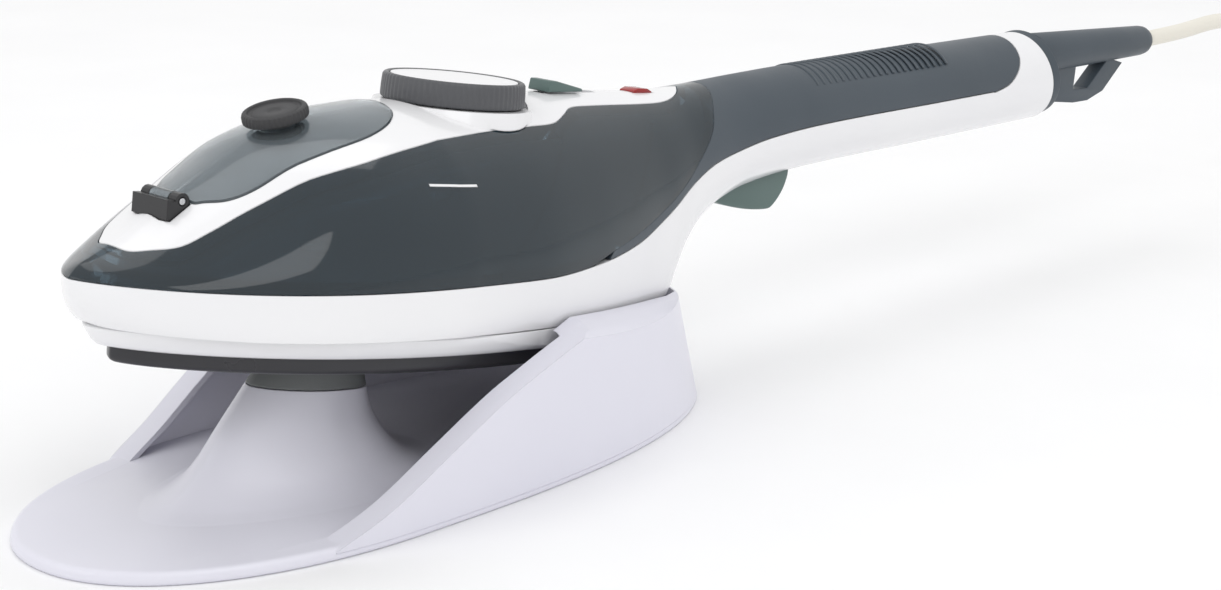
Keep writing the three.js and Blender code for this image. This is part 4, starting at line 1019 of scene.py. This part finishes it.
def end_cap():
    r = HANDLE["end_radius"]
    profile = [(r - 0.9, 0.3), (r - 0.65, 0.45), (r, 3.1), (r, 3.5), (r - 0.3, 3.7), (r - 1.2, 3.75)]
    cap = turned("cap", profile, 96)
    cap.data.transform(Matrix.Rotation(math.radians(90) - END_LEAN, 4, "Y"))
    cap.data.transform(Matrix.Translation((HANDLE["end"], 0, axis_at(HANDLE["end"]))))
    return minus(cap, along_guard(turned("hole", [(4.9, -14), (4.9, 30)])))


def hanging_loop():
    u, w = HANDLE["end"], axis_at(HANDLE["end"])
    under = [(u + 32, w - 9), (u + 41, w - 8.1), (u + 50, w - 4.6), (u + 60.5, w + 5.8), (u + 40, w + 9)]
    plate = [lean_point(4.1, -10.4), *under, lean_point(4.1, 8)]
    window = [(u + 31, w - 4.2), (u + 39.8, w - 3.8), (u + 50, w + 6), (u + 31, w + 6)]
    return rounded(minus(side_prism(plate, 3), side_prism(window, 10)), 1.2)


def cord_guard():
    full, tip = GUARD["radius"], GUARD["tip"]
    end = GUARD["length"]
    rear = [(full - 0.8, 7.5), (full - 0.2, 7.8), (full, 8.6)]
    profile = [*rear, (tip + 0.4, end - 4.2), (tip + 0.1, end - 2), (tip - 0.5, end - 0.7), (tip - 1.3, end)]
    sleeve = plus(along_guard(turned("sleeve", profile, 64)), hanging_loop())
    plus(sleeve, along_guard(turned("neck", [(GUARD["neck"], -5), (GUARD["neck"], 8.5)])))
    return minus(sleeve, along_guard(turned("bore", [(GUARD["bore"], -20), (GUARD["bore"], 95)], 48)))


finish_piece(end_cap(), "handle_end_cap", "iron", ["end_cap"], SLATE, angle=40)
finish_piece(cord_guard(), "cord_sleeve", "iron", ["cord_guard"], SLATE, angle=40)

# %% [markdown]
# ## The stand
# The stand is one moulding. Its walls lean out as they rise and turn in over a rounded shoulder to
# hug the housing; the front edge of each wall sweeps up in a long curve with a flat flange; and a
# pillar with a flared foot carries the heat-proof pad under the sole.

# %% Stand form
STAND = {"tip": -106.4, "widest": -23.7, "half": 50, "rear": 118, "wall": 3, "flange": 7.6}
WALL_EDGE = [
    (-52, 2), (-49.8, 3.6), (-36.4, 10), (-20.3, 20), (-3.4, 30), (7.7, 35), (21.7, 40), (39.6, 45), (60, 52),
]
# The pillar at five heights: height, nose, rear, half width.
PILLAR = [
    (3.2, -76, 18, 31), (5.5, -68, 9, 25.5), (11, -59.5, 0.5, 19.5), (22, -49.5, -5, 14), (44, -27, -8, 10),
]
PAD_DEPTH = 8.8


def stand_outline(z, inset=0.0):
    wide = STAND["half"] + 0.179 * z - inset
    rear = STAND["rear"] - 0.38 * z - inset
    tip = STAND["tip"] + inset
    half = [(tip, 0)]
    for k in range(40):
        t = 1 - (0.0004 + 0.9996 * (1 - math.cos(k / 40 * math.pi / 2)))
        half.append((STAND["widest"] - t * (STAND["widest"] - tip), -wide * (1 - t**2.136) ** (1 / 2.136)))
    for k in range(40):
        t = 0.9997 * math.sin(k / 39 * math.pi / 2)
        half.append((STAND["widest"] + t * (rear - STAND["widest"]), -wide * (1 - t**2.8) ** 0.5))
    half.append((rear, 0))
    return mirrored(half)


def stand_block(inset):
    return stacked("stand_block", [(z, stand_outline(z, inset)) for z in (0, 16, 32, 48, 64)])


def to_stand(piece):
    """Turns a piece drawn in the iron's frame into the stand's, both in millimetres."""
    piece.data.transform(Matrix.Translation(REST) @ Matrix.Rotation(TILT, 4, "Y"))
    return piece


def shoulder(drop):
    levels = [(-70, 16), (3, 16)]
    for k in range(1, 9):
        a = k / 8 * math.pi / 2
        levels.append((3 + 10 * math.sin(a), 3 + 13 * math.cos(a)))
    return to_stand(stacked("shoulder", [(w - drop, body_outline(extra - drop)) for w, extra in levels]))


def behind_edge(start, depth=None):
    edge = smooth_line(WALL_EDGE)
    front = [(x + start, z) for x, z in edge]
    back = [(160, 52), (160, 2)] if depth is None else [(x + depth, z) for x, z in edge][::-1]
    return side_prism([*front, *back], 90)


def pillar_outline(z, inset=0.0):
    nose, rear, wide = (read_row(PILLAR, column, z) for column in (1, 2, 3))
    middle = nose + 0.62 * (rear - nose)
    half = [(nose + inset, 0)]
    for k in range(24):
        t = 1 - (0.0006 + 0.9994 * (1 - math.cos(k / 24 * math.pi / 2)))
        half.append((middle - t * (middle - nose - inset), -(wide - inset) * (1 - t**1.8) ** 0.6))
    for k in range(24):
        t = 0.999 * math.sin(k / 23 * math.pi / 2)
        half.append((middle + t * (rear - inset - middle), -(wide - inset) * (1 - t**3.5) ** 0.5))
    half.append((rear - inset, 0))
    return mirrored(half)


def pillar(low, high):
    """The pillar between two heights of the iron's frame."""
    heights = [3.2 + 40.8 * (k / 40) ** 1.6 for k in range(41)]
    form = stacked("pillar", [(z, pillar_outline(z)) for z in heights])
    return within(form, to_stand(block(-60, 300, -90, 90, low, high)))


def stand_shell():
    outer = within(stand_block(0), shoulder(0))
    hollow = within(stand_block(STAND["wall"]), shoulder(STAND["wall"]))
    walls = within(minus(twin(outer), hollow), behind_edge(0))
    plus(walls, within(minus(outer, stand_block(STAND["flange"])), behind_edge(0, 3.2)))
    minus(walls, to_stand(plan_prism(body_outline(0.8), -8, 40)))
    rim = [(0, 0.9), (0.2, 0.4), (0.6, 0.1), (1.1, 0), (2.4, 0.3), (3.1, 0.7), (3.45, 1.3), (3.6, 2.2)]
    base = stacked("base", [(z, stand_outline(z if z < 1.2 else 1.2, inset)) for z, inset in rim])
    plus(base, walls, pillar(-80, -PAD_DEPTH - 0.6))
    for x, y in ((-60, -22), (-60, 22), (84, -26), (84, 26)):
        minus(base, upright_rod(x, y, -1, 1.2, 6.3))
    return base


shell = stand_shell()
finish_piece(shell, "stand_moulding", "stand", ["stand_shell"], LILAC, STAND_TO_ROW, 38)
pad = rounded(pillar(-PAD_DEPTH - 0.3, -0.3), 0.6, 3, 40)
finish_piece(pad, "rest_pad_cover", "stand", ["rest_pad"], PAD, STAND_TO_ROW, 40)

# %% [markdown]
# ## The plug
# The plug's body swells from a slim strain relief to a grip, then narrows to its face.


# %% Plug
def plug_body():
    profile = [
        (0, 3.4), (1, 3.6), (5, 3.8), (9, 4.2), (13, 4.6), (14.5, 5.6), (16, 8), (19, 10.6), (24, 11.8),
        (31, 12.2), (34, 12), (35.4, 11.6), (36, 10.8),
    ]
    rings = []
    for along, wide in profile:
        tall = min(wide, 7.5)
        ring = []
        for k in range(64):
            c, s = math.cos(math.tau * k / 64), math.sin(math.tau * k / 64)
            across, up = math.copysign(abs(c) ** 0.6, c) * wide, math.copysign(abs(s) ** 0.6, s) * tall
            ring.append((TAIL["to"] + 0.3 + along, TAIL["y"] + across, TAIL["z"] + up))
        rings.append(ring)
    return face_out(skin_over("plug", rings))


finish_piece(plug_body(), "plug_grip", "stand", ["plug_body"], VINYL, STAND_TO_ROW, 50)

bpy.data.objects.remove(SKIN)
bpy.data.objects.remove(INNER)

# %% [markdown]
# ## Carried-over pieces
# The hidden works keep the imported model's own shapes, and only need their finishes.

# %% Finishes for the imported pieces
BY_SLOT = {
    "black_plastic": BLACK, "dial_print": PRINT, "rubber": RUBBER, "cast_metal": CASTING, "steel": STEEL,
    "brass": BRASS, "silicone": SILICONE, "phenolic": BROWN, "lead_black": RUBBER, "cord_jacket": VINYL,
    "white_plastic": WHITE,
    "lens": RED, "grip_plastic": SLATE, "green_plastic": GREEN, "heatproof_pad": PAD, "stand_plastic": LILAC,
    "tank_plastic": SMOKE, "lid_plastic": LID, "dial_plastic": DIAL_GREY, "sole_coating": COATING,
}
for entry in frame["record"]["subparts"]:
    node = frame["nodes"][entry["node"]]
    node.data.materials.clear()
    node.data.materials.append(BY_SLOT[entry["material_slot"]])
    node.data.shade_smooth()
    node.data.set_sharp_from_angle(angle=math.radians(35))

# %% [markdown]

# %% [markdown]
# ## Studio
# A pale floor, an even pale surround and three large soft lights, as for a catalogue picture.


# %% Floor and light
def pale_floor():
    floor = new_piece("floor", [(-6, -6, 0), (6, -6, 0), (6, 6, 0), (-6, 6, 0)], [(0, 1, 2, 3)])
    paper = finish("floor_paper", (0.93, 0.93, 0.935), (0.91, 0.91, 0.915), (0.7, 0.8), (300, 0.05), 0.0)
    floor.data.materials.append(paper)


def soft_light(name, spot, size, power):
    lamp = bpy.data.lights.new(name, "AREA")
    lamp.shape = "RECTANGLE"
    lamp.size, lamp.size_y = size
    lamp.energy = power
    light = bpy.data.objects.new(name, lamp)
    bpy.context.scene.collection.objects.link(light)
    light.location = spot
    light.rotation_euler = (Vector((0.06, 0, 0.04)) - light.location).to_track_quat("-Z", "Y").to_euler()


def pale_surround(strength):
    world = bpy.data.worlds.new("surround")
    world.use_nodes = True
    world.node_tree.nodes["Background"].inputs["Color"].default_value = (1, 1, 1, 1)
    world.node_tree.nodes["Background"].inputs["Strength"].default_value = strength
    bpy.context.scene.world = world


pale_floor()
pale_surround(0.92)
soft_light("key", (-0.35, -0.9, 1.2), (0.9, 0.6), 3)
soft_light("side", (-1.2, 0.4, 0.7), (0.8, 0.8), 1.5)
soft_light("top", (0.3, 0.4, 1.3), (1.2, 0.5), 2)
bpy.context.scene.view_settings.view_transform = "Standard"
